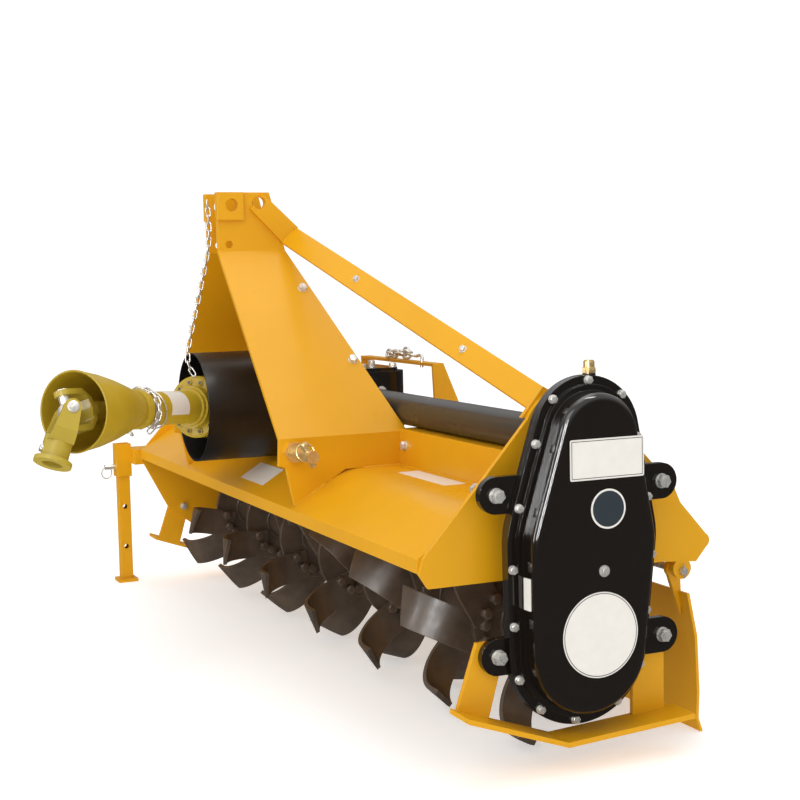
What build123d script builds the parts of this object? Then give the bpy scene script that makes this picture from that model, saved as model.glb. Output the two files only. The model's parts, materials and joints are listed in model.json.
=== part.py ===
"""Gear-driven rotary tiller for a three-point hitch, with its driveline and parking stand.

Millimetres. +Z is up, -Y points to the tractor, +X to the side with the gear case.
The origin of the finished pieces lies on the ground, under the middle of the machine.
"""
import os
from math import atan2, cos, degrees, hypot, radians, sin, sqrt

from build123d import *

# ---- where things are -------------------------------------------------------------
hitch_x = -92.0            # middle plane of the three-point hitch
case_face_x = 797.0        # outer face of the left side plate, where the gear case sits
far_face_x = -822.0        # outer face of the right side plate
plate_wall = 8.0
rotor_y = 176.0            # rotor axis
drive_y = 188.0            # cross shaft axis
drive_z = 498.0

# ---- rotor and its tines ----------------------------------------------------------
tine_reach = 190.0         # radius of the circle that the tine tips sweep
flange_count = 7
pairs_per_flange = 3       # each pair is one left-hand and one right-hand tine
flange_radius = 92.0
flange_wall = 10.0
rotor_tube_radius = 40.0
rotor_journal_radius = 22.5
tine_width = 62.0
tine_wall = 8.0
tine_offset = 50.0         # how far a tine's centre line runs ahead of the rotor axis
tine_bend = 75.0           # radius of the bend, at mid thickness
tine_leg = 104.0           # how far a tine stands out sideways from its flange
tine_root = 44.0           # where its shank starts, from the rotor axis
tine_end_slant = 42.0      # how much shorter the leading corner of the leg is
tine_end_gap = 12.0        # outermost tine to side plate
helix_step = 12.0          # turn from one flange to the next, degrees
pair_spread = 3 * helix_step   # turn from a left-hand tine to the right-hand one of its pair
running_gap = 0.05         # radial play of a journal in its bore

inner_face_x = case_face_x - plate_wall
far_inner_x = far_face_x + plate_wall
rotor_z = tine_reach * cos(radians(helix_step / 2))
rotor_mid_x = (inner_face_x + far_inner_x) / 2
end_flange_x = (inner_face_x - far_inner_x) / 2 - tine_end_gap - tine_leg - flange_wall / 2
flange_pitch = 2 * end_flange_x / (flange_count - 1)

# ---- deck -------------------------------------------------------------------------
deck_wall = 5.0
lip_y = -68.0
lip_low_z = 312.0
lip_top_z = 334.0
deck_flat_z = 400.0
deck_knee_y = 40.0         # where the front slope would meet the flat
deck_knee_radius = 120.0
deck_rear_y = 345.0
deck_tail_y = 428.0
deck_tail_z = 308.0
beam_front_y = 150.0
beam_depth = 76.0
beam_wall = 6.0
tube_radius = 30.0
tube_wall = 4.0

# ---- hitch frame ------------------------------------------------------------------
mast_half_gap = 30.0       # half the slot that takes the top link
mast_wall = 8.0
mast_top_z = 920.0
mast_bend_z = 805.0
panel_half_width = 344.0   # outer face of the lower panels
panel_bend_z = 463.0
hitch_hole_radius = 12.8
hitch_hole_y = -65.0
hitch_hole_z = 895.0
rear_hole_y = -8.0
rear_hole_drop = 21.0      # centre of the rear hole below the mast's top
mast_front_y = -95.0
mast_rear_y = 15.0         # the mast's rear edge at its top
mast_back_y = 46.0         # and at its bend
panel_back_y = 166.0       # the panels' rear edge at their lower bend
panel_foot_y = 158.0
panel_lobe_y = -89.0       # the lobe round the lower pin
panel_lobe_z = 412.0
boss_side = 54.0           # square pad at the top-link hole
boss_wall = 8.0
clip_hole_z = 818.0
clip_hole_radius = 7.5
pin_y = -58.0
pin_z = 438.0
pin_radius = 11.1
pin_length = 96.0
pin_gap = 0.15
pin_nut_half = 20.0
pin_nut_wall = 12.0
pin_inner_wall = 14.0

# ---- gear case --------------------------------------------------------------------
case_depth = 40.0          # housing behind the flange
case_flange = 9.0
cover_flange = 9.0
cover_depth = 40.0
cover_ledge = 7.0          # low step round the cover's dome
cover_round = 12.0
case_rim = 22.0            # flange width outside the walls
# lobe centres (y, z) and radii of the flange outline
case_lobes = [(drive_y, drive_z + 10, 91.0), (rotor_y + 3, 350.0, 130.0), (rotor_y - 5, rotor_z, 120.0)]
ear_front_y = 36.0
ear_rear_y = 326.0
ear_high_z = 428.0
ear_low_z = 186.0
ear_radius = 28.0
ear_wall = 12.0
ear_bolt_radius = 8.5

# ---- skids ------------------------------------------------------------------------
skid_wall = 8.0
skid_width = 62.0
skid_toe_y = -36.0
skid_toe_z = 106.0
skid_corner_y = 131.0
skid_corner_z = 46.0
skid_rear_y = 358.0
skid_rear_z = 58.0
skid_leg_width = 52.0

# ---- tailboard --------------------------------------------------------------------
hinge_y = 398.0
hinge_z = 270.0
hinge_rod_radius = 6.0
hinge_gap = 0.1
tail_wall = 5.0
tail_low_z = 1.0
tail_top_z = 232.0

# ---- parking stand ----------------------------------------------------------------
stand_gap = 55.0           # the stand's middle to the side plate
stand_x = far_face_x - stand_gap
stand_y = -100.0
leg_side = 28.0
leg_wall = 3.0
leg_top_z = 340.0
leg_holes = (89.0, 189.0)
stand_pin_radius = 6.0
foot_side = 48.0
foot_wall = 8.0
sleeve_gap = 0.5
sleeve_wall = 4.0
sleeve_low_z = 265.0
sleeve_top_z = 346.0
arm_low_z = 297.0          # the block that joins the sleeve to the side plate
arm_height = 38.0
arm_length = 44.0

# ---- driveline --------------------------------------------------------------------
shield_radius = 108.0
shield_wall = 3.0
shield_front_y = -143.0
shield_rear_y = 24.0
knuckle_y = -110.0         # centre of the joint at the gearbox end
drive_swing = 40.0         # the driveline rests swung to the gear-case side, degrees
drive_lift = 4.0           # and lifted, degrees
joint_run = 446.0          # from one joint's centre to the other
yoke_drop = 65.0           # how far the tractor yoke hangs from the driveline's line
cross_tilt = 40.0          # turn of the tractor yoke's pins from level
yoke_reach = 98.0
yoke_hub_length = 48.0
inner_yoke_reach = 62.0
inner_hub_length = 18.0
inner_hub_radius = 20.0
yoke_hub_radius = 24.0
yoke_collar_radius = 33.0
yoke_collar_wall = 8.0
yoke_ear_wall = 10.0
yoke_gap = 28.0            # joint centre to the inner face of an ear
yoke_eye_radius = 15.0
yoke_corner = 10.0
cross_pin_radius = 9.5
yoke_bore_radius = 17.5
shaft_radius = 17.0
knuckle_radius = 30.0      # round hubs on either side of the hidden joint
knuckle_half = 25.0        # from that joint's centre to each hub
guard_wall = 3.0
guard_tube_radius = 32.0
bell_radius = 61.0
bell_front = 51.0          # the bell's face, along the driveline from the hidden joint
bell_tube_end = 250.0
# the cone's line from the tube to its rim, as (run, radius)
cone_line = [(255.0, guard_tube_radius), (292.0, 44.0), (335.0, 56.0), (382.0, 66.0), (430.0, 72.4)]
cone_overlap = 75.0        # how far its tube slides into the bell's tube

swing, lift, drop = radians(drive_swing), radians(drive_lift), radians(yoke_drop - drive_lift)
drive_base = Vector(hitch_x, knuckle_y, drive_z)
drive_line = Vector(sin(swing) * cos(lift), -cos(swing) * cos(lift), sin(lift))
drive_level = Vector(cos(swing), sin(swing), 0)
joint_centre = drive_base + drive_line * joint_run
yoke_line = Vector(sin(swing) * cos(drop), -cos(swing) * cos(drop), -sin(drop))
tilt = radians(cross_tilt)
outer_pins = drive_level * cos(tilt) + yoke_line.cross(drive_level) * sin(tilt)
inner_pins = outer_pins.cross(drive_line).normalized()

# The outer box runs from the tractor yoke's collar to the side plates' rear corners.
plate_rear_y = 451.0
yoke_end = joint_centre + yoke_line * yoke_reach
front_y = yoke_end.Y - yoke_collar_radius * hypot(yoke_line.X, yoke_line.Z)
middle_y = (front_y + plate_rear_y) / 2

os.makedirs("parts", exist_ok=True)


def write(piece, label):
    """Name a finished piece, move it over the origin and write its STEP file."""
    placed = piece.part.moved(Location((0, -middle_y, 0)))
    placed.label = label
    export_step(placed, f"parts/{label}.step")


def yz_plane(x):
    """A sketch plane across the machine: its local x is +Y and its local y is +Z."""
    return Plane(origin=(x, 0, 0), x_dir=(0, 1, 0), z_dir=(1, 0, 0))


def along_y(y):
    """A sketch plane on the gearbox's input axis, facing the tractor: local x +X, local y +Z."""
    return Plane(origin=(hitch_x, y, drive_z), x_dir=(1, 0, 0), z_dir=(0, -1, 0))


def along_drive(run):
    """A sketch plane square to the driveline, run ahead of the hidden joint."""
    return Plane(origin=drive_base + drive_line * run, x_dir=drive_level, z_dir=drive_line)


# ---- deck -------------------------------------------------------------------------
def deck_line(drop):
    """The deck's profile, front lip to tail, lowered by drop square to each run."""
    slope = atan2(deck_flat_z - lip_top_z, deck_knee_y - lip_y)
    tail = atan2(deck_flat_z - deck_tail_z, deck_tail_y - deck_rear_y)
    return [
        (lip_y + drop, lip_low_z),
        (lip_y + drop, lip_top_z - drop * (1 - sin(slope)) / cos(slope)),
        (deck_knee_y + drop * (1 - cos(slope)) / sin(slope), deck_flat_z - drop),
        (deck_rear_y - drop * (1 - cos(tail)) / sin(tail), deck_flat_z - drop),
        (deck_tail_y - drop * sin(tail), deck_tail_z - drop * cos(tail)),
    ]


with BuildPart() as deck:
    with BuildSketch(yz_plane(far_inner_x)):
        with BuildLine():
            Polyline(*deck_line(0), *reversed(deck_line(deck_wall)), close=True)
        make_face()
    extrude(amount=inner_face_x - far_inner_x)
    knees = [edge for edge in deck.edges().filter_by(Axis.X)
             if abs(edge.center().Y - deck_knee_y) < deck_wall]
    fillet(knees, deck_knee_radius)
write(deck, "deck")

# The raised beam carries the cross tube and leaves room for the gearbox.
beam_top_z = drive_z - tube_radius
gearbox_half = 96.0
with BuildPart() as deck_beam:
    for x0, x1 in ((hitch_x + panel_half_width, inner_face_x), (far_inner_x, hitch_x - panel_half_width)):
        with BuildSketch(yz_plane(x0)):
            with Locations((beam_front_y + beam_depth / 2, (deck_flat_z + beam_top_z) / 2)):
                Rectangle(beam_depth, beam_top_z - deck_flat_z)
                Rectangle(beam_depth - 2 * beam_wall, beam_top_z - deck_flat_z - 2 * beam_wall,
                          mode=Mode.SUBTRACT)
        extrude(amount=x1 - x0)
write(deck_beam, "deck_beam")

with BuildPart() as cross_tube:
    with BuildSketch(yz_plane(hitch_x + gearbox_half)):
        with Locations((drive_y, drive_z)):
            Circle(tube_radius - 0.3)
            Circle(tube_radius - tube_wall, mode=Mode.SUBTRACT)
    extrude(amount=inner_face_x - hitch_x - gearbox_half)
write(cross_tube, "cross_tube")


# ---- side plates ------------------------------------------------------------------
# Rear outline shared by both plates, down from the crown and round the hinge lobe.
crown_radius = 78.0
nose_radius = 12.0         # the rearmost corner is round
nose_y = plate_rear_y - nose_radius
nose_z = 316.0
plate_rear = [(384, 406), (395, 382), (nose_y + 8, nose_z + 8), (nose_y + 8, nose_z - 8), (425, 283)]
lobe_radius = 17.0
plate_low_z = 289.0
plate_front = [(42, 447), (-62, lip_top_z), (lip_y, lip_low_z)]


def side_plate(x, low_outline, bore_radius):
    """One side plate from x to x + plate_wall, with its lower outline and the hole for the rotor."""
    with BuildPart() as plate:
        with BuildSketch(yz_plane(x)) as outline:
            with BuildLine():
                Polyline((drive_y + 60, drive_z + 50), *plate_rear, *low_outline, *reversed(plate_front),
                         (drive_y - 70, drive_z + 34), close=True)
            make_face()
            with Locations((drive_y, drive_z)):
                Circle(crown_radius)
            with Locations((hinge_y, hinge_z + 4)):
                Circle(lobe_radius)
            with Locations((nose_y, nose_z)):
                Circle(nose_radius)
            with Locations((hinge_y, hinge_z)):
                Circle(hinge_rod_radius + 0.3, mode=Mode.SUBTRACT)
            if bore_radius:
                with Locations((rotor_y, rotor_z)):
                    Circle(bore_radius, mode=Mode.SUBTRACT)
        extrude(amount=plate_wall)
    return plate


write(side_plate(inner_face_x, [(359, plate_low_z), (-53, plate_low_z)], 0), "side_plate_left")
bearing_hole_radius = 34.0
far_low_outline = [(359, plate_low_z), (262, 118), (220, 97), (135, 97), (78, 124), (-1, 183)]
write(side_plate(far_face_x, far_low_outline, bearing_hole_radius), "side_plate_right")

# ---- gear case --------------------------------------------------------------------
flange_x = case_face_x + case_depth


def case_outline(inset):
    """The gear case's three lobes, drawn in from the flange's edge."""
    with BuildSketch() as outline:
        for y, z, radius in case_lobes:
            with Locations((y, z)):
                Circle(radius - inset)
        make_hull()
    return outline.sketch


def case_slab(x, depth, inset, taper=0):
    """A slab of the case between x and x + depth."""
    extrude(Plane.YZ.offset(x) * case_outline(inset), amount=depth, taper=taper)


vent_radius = 7.0
vent_x = flange_x - 4
vent_y = 205.0
vent_z = 600.0
with BuildPart() as gearcase_housing:
    case_slab(case_face_x, case_depth, case_rim)
    case_slab(flange_x, case_flange, 0)
    with BuildSketch(Plane(origin=(vent_x, vent_y, vent_z - 40))):
        Circle(vent_radius + 3)
    extrude(amount=40)
    for y, inward in ((ear_front_y, 1), (ear_rear_y, -1)):
        for z in (ear_high_z, ear_low_z):
            with BuildSketch(Plane.YZ.offset(flange_x - ear_wall + case_flange)):
                with Locations((y, z)):
                    Circle(ear_radius)
                with Locations((y + inward * 45, z)):
                    Rectangle(90, 2 * ear_radius)
            extrude(amount=ear_wall)
            with BuildSketch(Plane.YZ.offset(case_face_x)):
                with Locations((y, z)):
                    Circle(ear_bolt_radius)
            extrude(amount=case_depth + 2 * case_flange, mode=Mode.SUBTRACT)
    with BuildSketch(Plane.YZ.offset(case_face_x)):
        with Locations((rotor_y, rotor_z)):
            Circle(rotor_journal_radius + running_gap)
    extrude(amount=case_depth - 5, mode=Mode.SUBTRACT)
write(gearcase_housing, "gearcase_housing")

cover_x = flange_x + case_flange + cover_flange
with BuildPart() as gearcase_cover:
    case_slab(flange_x + case_flange, cover_flange, 0)
    case_slab(cover_x, cover_ledge, case_rim - 9)
    case_slab(cover_x + cover_ledge, cover_depth - cover_ledge, case_rim, taper=5)
    fillet(gearcase_cover.faces().sort_by(Axis.X)[-1].edges(), cover_round)
write(gearcase_cover, "gearcase_cover")

plug_y, plug_z = 190.0, 309.0
with BuildPart() as cover_plug:
    with BuildSketch(Plane.YZ.offset(cover_x + cover_depth)):
        with Locations((plug_y, plug_z)):
            RegularPolygon(8, 6)
    extrude(amount=6)
write(cover_plug, "cover_plug")

with BuildPart() as vent_plug:
    with BuildSketch(Plane(origin=(vent_x, vent_y, vent_z))):
        Circle(vent_radius)
    extrude(amount=20)
write(vent_plug, "vent_plug")

with BuildPart() as rotor_bearing:
    with BuildSketch(Plane.YZ.offset(far_face_x - 30)):
        with Locations((rotor_y, rotor_z)):
            Circle(52)
    extrude(amount=30)
    with BuildSketch(Plane.YZ.offset(far_face_x - 24)):
        with Locations((rotor_y, rotor_z)):
            Circle(rotor_journal_radius + running_gap)
    extrude(amount=24, mode=Mode.SUBTRACT)
write(rotor_bearing, "rotor_bearing")

# ---- rotor ------------------------------------------------------------------------
tine_crown = sqrt(tine_reach ** 2 - (tine_offset + tine_width / 2) ** 2)
tip_lead = degrees(atan2(tine_offset + tine_width / 2, tine_crown))
first_tine_angle = 180 - tip_lead - 6.5 * helix_step   # the lowest tips stand half a step off the vertical
flange_xs = [rotor_mid_x - end_flange_x + flange_pitch * k for k in range(flange_count)]

with BuildPart() as rotor_shaft:
    with BuildSketch(yz_plane(far_inner_x + 6)):
        with Locations((rotor_y, rotor_z)):
            Circle(rotor_tube_radius)
    extrude(amount=inner_face_x - far_inner_x - 12)
    for x in flange_xs:
        with BuildSketch(yz_plane(x - flange_wall / 2)):
            with Locations((rotor_y, rotor_z)):
                Circle(flange_radius)
        extrude(amount=flange_wall)
    with BuildSketch(yz_plane(far_face_x - 20)):
        with Locations((rotor_y, rotor_z)):
            Circle(rotor_journal_radius)
    extrude(amount=case_face_x + 28 - far_face_x + 20)
write(rotor_shaft, "rotor_shaft")


def tine(side):
    """A tine at the rotor axis, shank up +Z, leg towards side (+1 or -1 along X)."""
    half = tine_width / 2
    crown = tine_crown - tine_wall / 2
    shank_x = side * (flange_wall / 2 + tine_wall / 2)
    tip_x = side * (flange_wall / 2 + tine_leg)
    foot = Vector(shank_x, -tine_offset, tine_root)
    bend_start = Vector(shank_x, -tine_offset, crown - tine_bend)
    bend_end = Vector(shank_x + side * tine_bend, -tine_offset, crown)
    with BuildPart() as blade:
        with BuildLine() as spine:
            Line(foot, bend_start)
            TangentArc(bend_start, bend_end, tangent=(0, 0, 1))
            Line(bend_end, Vector(tip_x, -tine_offset, crown))
        with BuildSketch(Plane(origin=foot, x_dir=(1, 0, 0), z_dir=(0, 0, 1))):
            Rectangle(tine_wall, tine_width)
        sweep(path=spine.line)
        with BuildSketch(Plane.XY.offset(crown - tine_bend / 2)):
            with BuildLine():
                Polyline(
                    (tip_x, half - tine_offset),
                    (tip_x + side * tine_wall, -half - tine_wall - tine_offset),
                    (tip_x - side * tine_end_slant, -half - tine_offset),
                    close=True,
                )
            make_face()
        extrude(amount=tine_bend, mode=Mode.SUBTRACT)
    return blade.part


tine_shapes = {side: tine(side) for side in (1, -1)}
for label, side, lead in (("tines_left_hand", 1, 0), ("tines_right_hand", -1, pair_spread)):
    with BuildPart() as tines:
        for k, x in enumerate(flange_xs):
            for pair in range(pairs_per_flange):
                turn = first_tine_angle + lead + helix_step * k + 360 / pairs_per_flange * pair
                with Locations(Location((x, rotor_y, rotor_z), (turn, 0, 0))):
                    add(tine_shapes[side])
    write(tines, label)

# ---- skids ------------------------------------------------------------------------
rear_leg_y = ear_rear_y - 48


def skid(x, outward):
    """A runner on two legs: x is the legs' inner face, outward is +1 or -1 along X."""
    run = [(skid_toe_y, skid_toe_z), (skid_corner_y, skid_corner_z), (skid_rear_y, skid_rear_z)]
    with BuildPart() as runner:
        with BuildSketch(yz_plane(x)):
            with BuildLine():
                Polyline(*run, *[(y, z + skid_wall) for y, z in reversed(run)], close=True)
            make_face()
        extrude(amount=outward * skid_width)
        with BuildSketch(yz_plane(x)):
            with BuildLine():
                Polyline((skid_toe_y + 8, skid_toe_z + 4), (ear_front_y - 30, ear_low_z + 22),
                         (ear_front_y + 22, ear_low_z + 22),
                         (skid_toe_y + 8 + skid_leg_width, skid_toe_z - 16), close=True)
            make_face()
            with BuildLine():
                Polyline((rear_leg_y, skid_rear_z), (rear_leg_y, ear_low_z + 25),
                         (rear_leg_y + skid_leg_width + 6, ear_low_z + 25),
                         (rear_leg_y + skid_leg_width + 6, skid_rear_z + 4), close=True)
            make_face()
            with Locations((ear_front_y, ear_low_z), (ear_rear_y, ear_low_z)):
                Circle(ear_bolt_radius, mode=Mode.SUBTRACT)
        extrude(amount=outward * skid_wall)
    return runner


write(skid(flange_x + case_flange - ear_wall - skid_wall, 1), "skid_left")
write(skid(far_face_x, -1), "skid_right")

# ---- hitch frame ------------------------------------------------------------------
shadow_low_z = lip_low_z - 100
deck_shadow = [(lip_y, shadow_low_z), (lip_y, lip_top_z), (deck_knee_y, deck_flat_z),
               (panel_back_y + 50, deck_flat_z), (panel_back_y + 50, shadow_low_z)]
hitch_holes = [(hitch_hole_y, hitch_hole_z), (rear_hole_y, mast_top_z - rear_hole_drop)]
panel_outline = [
    (mast_front_y, mast_top_z), (mast_rear_y, mast_top_z), (mast_back_y, mast_bend_z),
    (panel_back_y, panel_bend_z), (panel_foot_y, panel_bend_z - 23), (panel_foot_y, deck_flat_z),
    (deck_knee_y, deck_flat_z), (lip_y + 8, lip_top_z + 4), (panel_lobe_y + 14, panel_lobe_z - 2),
    (panel_lobe_y, panel_lobe_z + 2), (panel_lobe_y + 2, panel_bend_z), (mast_front_y + 2, mast_bend_z),
]


def hitch_panel(side):
    """One bent plate of the A-frame: side is +1 or -1 along X from the middle plane."""
    top = mast_half_gap + mast_wall
    slant = atan2(panel_half_width - top, mast_bend_z - panel_bend_z)
    fold = mast_wall * (1 - cos(slant)) / sin(slant)
    bend = [(top, mast_top_z), (top, mast_bend_z), (panel_half_width, panel_bend_z),
            (panel_half_width, lip_low_z)]
    inner = [(mast_half_gap, mast_top_z), (mast_half_gap, mast_bend_z - fold),
             (panel_half_width - mast_wall, panel_bend_z - fold), (panel_half_width - mast_wall, lip_low_z)]
    with BuildPart() as panel:
        with BuildSketch(Plane(origin=(hitch_x, mast_front_y, 0), x_dir=(1, 0, 0), z_dir=(0, -1, 0))):
            with BuildLine():
                Polyline(*[(side * x, z) for x, z in bend], *[(side * x, z) for x, z in reversed(inner)],
                         close=True)
            make_face()
        extrude(amount=mast_front_y - panel_back_y)
        with BuildSketch(yz_plane(hitch_x)):
            with BuildLine():
                Polyline(*panel_outline, close=True)
            make_face()
            with BuildLine():
                Polyline(*deck_shadow, close=True)
            make_face(mode=Mode.SUBTRACT)
        extrude(amount=side * (panel_half_width + mast_wall), mode=Mode.INTERSECT)
        with BuildSketch(yz_plane(hitch_x + side * top)):
            with Locations((mast_front_y + boss_side / 2, mast_top_z - boss_side / 2)):
                Rectangle(boss_side, boss_side)
        extrude(amount=side * boss_wall)
        with BuildSketch(yz_plane(hitch_x)):
            with Locations(*hitch_holes):
                Circle(hitch_hole_radius)
            with Locations((mast_front_y + 25, clip_hole_z)):
                Circle(clip_hole_radius)
            with Locations((pin_y, pin_z)):
                Circle(pin_radius + pin_gap)
        extrude(amount=side * (panel_half_width + mast_wall), mode=Mode.SUBTRACT)
    return panel


for label, side in (("hitch_panel_left", 1), ("hitch_panel_right", -1)):
    write(hitch_panel(side), label)

for label, side in (("lower_pin_left", 1), ("lower_pin_right", -1)):
    inner_x = panel_half_width - mast_wall - pin_inner_wall
    with BuildPart() as lower_pin:
        with BuildSketch(yz_plane(hitch_x + side * (inner_x - 8))):
            with Locations((pin_y, pin_z)):
                Circle(pin_radius)
        extrude(amount=side * (panel_half_width + pin_length - inner_x + 8))
        for start, depth in ((panel_half_width, pin_nut_wall), (inner_x, pin_inner_wall)):
            with BuildSketch(yz_plane(hitch_x + side * start)):
                with Locations((pin_y, pin_z)):
                    RegularPolygon(pin_nut_half, 6)
            extrude(amount=side * depth)
    write(lower_pin, label)

# The guard closes the back of the A-frame between its two panels.
guard_top_z = 745.0
guard_low_z = 562.0
guard_sheet = 5.0
guard_inset = 8.0          # ahead of the panels' rear edge
panel_rise = mast_bend_z - panel_bend_z


def guard_half(z):
    """Half the guard's width at height z."""
    spread = (mast_bend_z - z) / panel_rise * (panel_half_width - mast_wall - mast_half_gap)
    return mast_half_gap + spread - 6


def rear_edge_y(z):
    """Where the panels' rear edge lies at height z."""
    return mast_back_y + (mast_bend_z - z) / panel_rise * (panel_back_y - mast_back_y)


with BuildPart() as mast_guard:
    guard_top_y = rear_edge_y(guard_top_z)
    run = Vector(0, rear_edge_y(guard_low_z) - guard_top_y, guard_low_z - guard_top_z)
    with BuildSketch(Plane(origin=(hitch_x, guard_top_y - guard_inset, guard_top_z), x_dir=(1, 0, 0),
                           z_dir=Vector(1, 0, 0).cross(run))):
        with BuildLine():
            Polyline((-guard_half(guard_top_z), 0), (guard_half(guard_top_z), 0),
                     (guard_half(guard_low_z), run.length), (-guard_half(guard_low_z), run.length),
                     close=True)
        make_face()
    extrude(amount=guard_sheet)
write(mast_guard, "mast_guard")

# Each brace is a flat bar between a tab on the mast and a tab on a side plate.
brace_width = 42.0
brace_wall = 8.0
brace_top_y = 55.0
brace_top_z = 833.0
brace_end_y = 150.0
brace_end_z = 556.0


def brace(side, end_x):
    """A flat bar from the mast's rear hole to the top of a side plate's inner face."""
    tab_x = hitch_x + side * (mast_half_gap + mast_wall)
    start = Vector(tab_x + side * (mast_wall - 2), brace_top_y, brace_top_z)
    end = Vector(end_x - side * (mast_wall - 1), brace_end_y, brace_end_z)
    run = end - start
    with BuildPart() as bar:
        with BuildSketch(yz_plane(tab_x)):
            with BuildLine():
                Polyline((rear_hole_y - 18, mast_top_z - 33), (rear_hole_y + 8, mast_top_z - 3),
                         (brace_top_y + 17, brace_top_z + 17), (brace_top_y - 13, brace_top_z - 16),
                         close=True)
            make_face()
            with Locations(hitch_holes[1]):
                Circle(hitch_hole_radius, mode=Mode.SUBTRACT)
        extrude(amount=side * mast_wall)
        with BuildSketch(Plane(origin=start, x_dir=run, z_dir=run.cross(Vector(0, 1, 1)))):
            with Locations((run.length / 2, 0)):
                Rectangle(run.length, brace_width)
        extrude(amount=brace_wall / 2, both=True)
        with BuildSketch(yz_plane(end_x)):
            with BuildLine():
                Polyline((brace_end_y - 38, brace_end_z - 22), (brace_end_y, brace_end_z + 24),
                         (brace_end_y + 45, brace_end_z - 1), (brace_end_y + 40, brace_end_z - 22),
                         close=True)
            make_face()
        extrude(amount=-side * mast_wall)
    return bar


write(brace(1, inner_face_x), "brace_left")
write(brace(-1, far_inner_x), "brace_right")

# ---- gearbox and its rear bracket -------------------------------------------------
gearbox_width = 156.0
gearbox_length = 196.0
gearbox_high = 58.0        # top above the cross shaft
gearbox_neck_radius = 56.0
with BuildPart() as gearbox:
    with BuildSketch(Plane.XY.offset(deck_flat_z)):
        with Locations((hitch_x, drive_y + 6)):
            RectangleRounded(gearbox_width, gearbox_length, 30)
    extrude(amount=drive_z + gearbox_high - deck_flat_z)
    with BuildSketch(yz_plane(hitch_x - gearbox_half)):
        with Locations((drive_y, drive_z)):
            Circle(52)
    extrude(amount=2 * gearbox_half)
    with BuildSketch(along_y(shield_rear_y)):
        Circle(gearbox_neck_radius)
    extrude(amount=-80)
    with BuildSketch(along_y(shield_rear_y)):
        Circle(shaft_radius + running_gap)
    extrude(amount=-50, mode=Mode.SUBTRACT)
write(gearbox, "gearbox")

bracket_half = 184.0
bracket_wall = 6.0
bracket_top_z = 574.0
bracket_front_y = 298.0
bracket_flange = 24.0      # the folded top edge
bracket_foot_y = 420.0
with BuildPart() as rear_bracket:
    with BuildSketch(yz_plane(hitch_x - bracket_half)):
        with BuildLine():
            Polyline((bracket_front_y, bracket_top_z), (bracket_front_y + bracket_flange, bracket_top_z),
                     (bracket_foot_y, deck_flat_z - 60), (bracket_front_y + 32, deck_flat_z),
                     (bracket_front_y + 8, deck_flat_z), close=True)
        make_face()
        with BuildLine():
            Polyline(*deck_line(0), (lip_y, shadow_low_z), close=True)
        make_face(mode=Mode.SUBTRACT)
    extrude(amount=2 * bracket_half)
    with BuildSketch(yz_plane(hitch_x - bracket_half + bracket_wall)):
        with Locations((bracket_front_y + 62, bracket_top_z - bracket_wall - 88)):
            Rectangle(bracket_foot_y - 220, bracket_top_z - 398)
    extrude(amount=2 * (bracket_half - bracket_wall), mode=Mode.SUBTRACT)
write(rear_bracket, "rear_bracket")

# ---- tailboard --------------------------------------------------------------------
with BuildPart() as hinge_rod:
    with BuildSketch(yz_plane(far_face_x - 8)):
        with Locations((hinge_y, hinge_z)):
            Circle(hinge_rod_radius)
    extrude(amount=case_face_x - far_face_x + 16)
write(hinge_rod, "hinge_rod")

tail_top_y = hinge_y + 14
tail_line = [(tail_top_y, tail_top_z), (427, 160), (431, 68), (429, 24), (437, tail_low_z)]
strap_wall = 8.0
eye_radius = 14.0
with BuildPart() as tailboard:
    with BuildSketch(yz_plane(far_face_x)):
        with BuildLine():
            Polyline(*tail_line, *[(y - tail_wall, z) for y, z in reversed(tail_line)], close=True)
        make_face()
    extrude(amount=case_face_x - far_face_x)
    for x in (far_inner_x + 16, rotor_mid_x, inner_face_x - 16 - strap_wall):
        with BuildSketch(yz_plane(x)):
            with BuildLine():
                Polyline((hinge_y - 10, hinge_z - 9), (hinge_y + 12, hinge_z + 7), (tail_top_y, tail_top_z),
                         (tail_top_y, tail_top_z - 40), (tail_top_y - 4, tail_top_z - 30), close=True)
            make_face()
            with Locations((hinge_y, hinge_z)):
                Circle(eye_radius)
                Circle(hinge_rod_radius + hinge_gap, mode=Mode.SUBTRACT)
        extrude(amount=strap_wall)
write(tailboard, "tailboard")

# ---- parking stand ----------------------------------------------------------------
with BuildPart() as stand_leg:
    with BuildSketch(Plane.XY):
        with Locations((stand_x, stand_y)):
            Rectangle(foot_side, foot_side)
    extrude(amount=foot_wall)
    with BuildSketch(Plane.XY.offset(foot_wall)):
        with Locations((stand_x, stand_y)):
            Rectangle(leg_side, leg_side)
            Rectangle(leg_side - 2 * leg_wall, leg_side - 2 * leg_wall, mode=Mode.SUBTRACT)
    extrude(amount=leg_top_z - foot_wall)
    with BuildSketch(yz_plane(stand_x)):
        with Locations(*[(stand_y, z) for z in leg_holes]):
            Circle(stand_pin_radius)
    extrude(amount=leg_side, both=True, mode=Mode.SUBTRACT)
write(stand_leg, "stand_leg")

sleeve_side = leg_side + 2 * sleeve_gap + 2 * sleeve_wall
with BuildPart() as stand_sleeve:
    with BuildSketch(Plane.XY.offset(sleeve_low_z)):
        with Locations((stand_x, stand_y)):
            Rectangle(sleeve_side, sleeve_side)
            Rectangle(leg_side + 2 * sleeve_gap, leg_side + 2 * sleeve_gap, mode=Mode.SUBTRACT)
    extrude(amount=sleeve_top_z - sleeve_low_z)
    with BuildSketch(Plane.XY.offset(arm_low_z)):
        with Locations(((stand_x - 12 + far_face_x) / 2, stand_y + (sleeve_side + arm_length) / 2)):
            Rectangle(far_face_x - stand_x + 12, arm_length)
    extrude(amount=arm_height)
write(stand_sleeve, "stand_sleeve")

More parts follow.
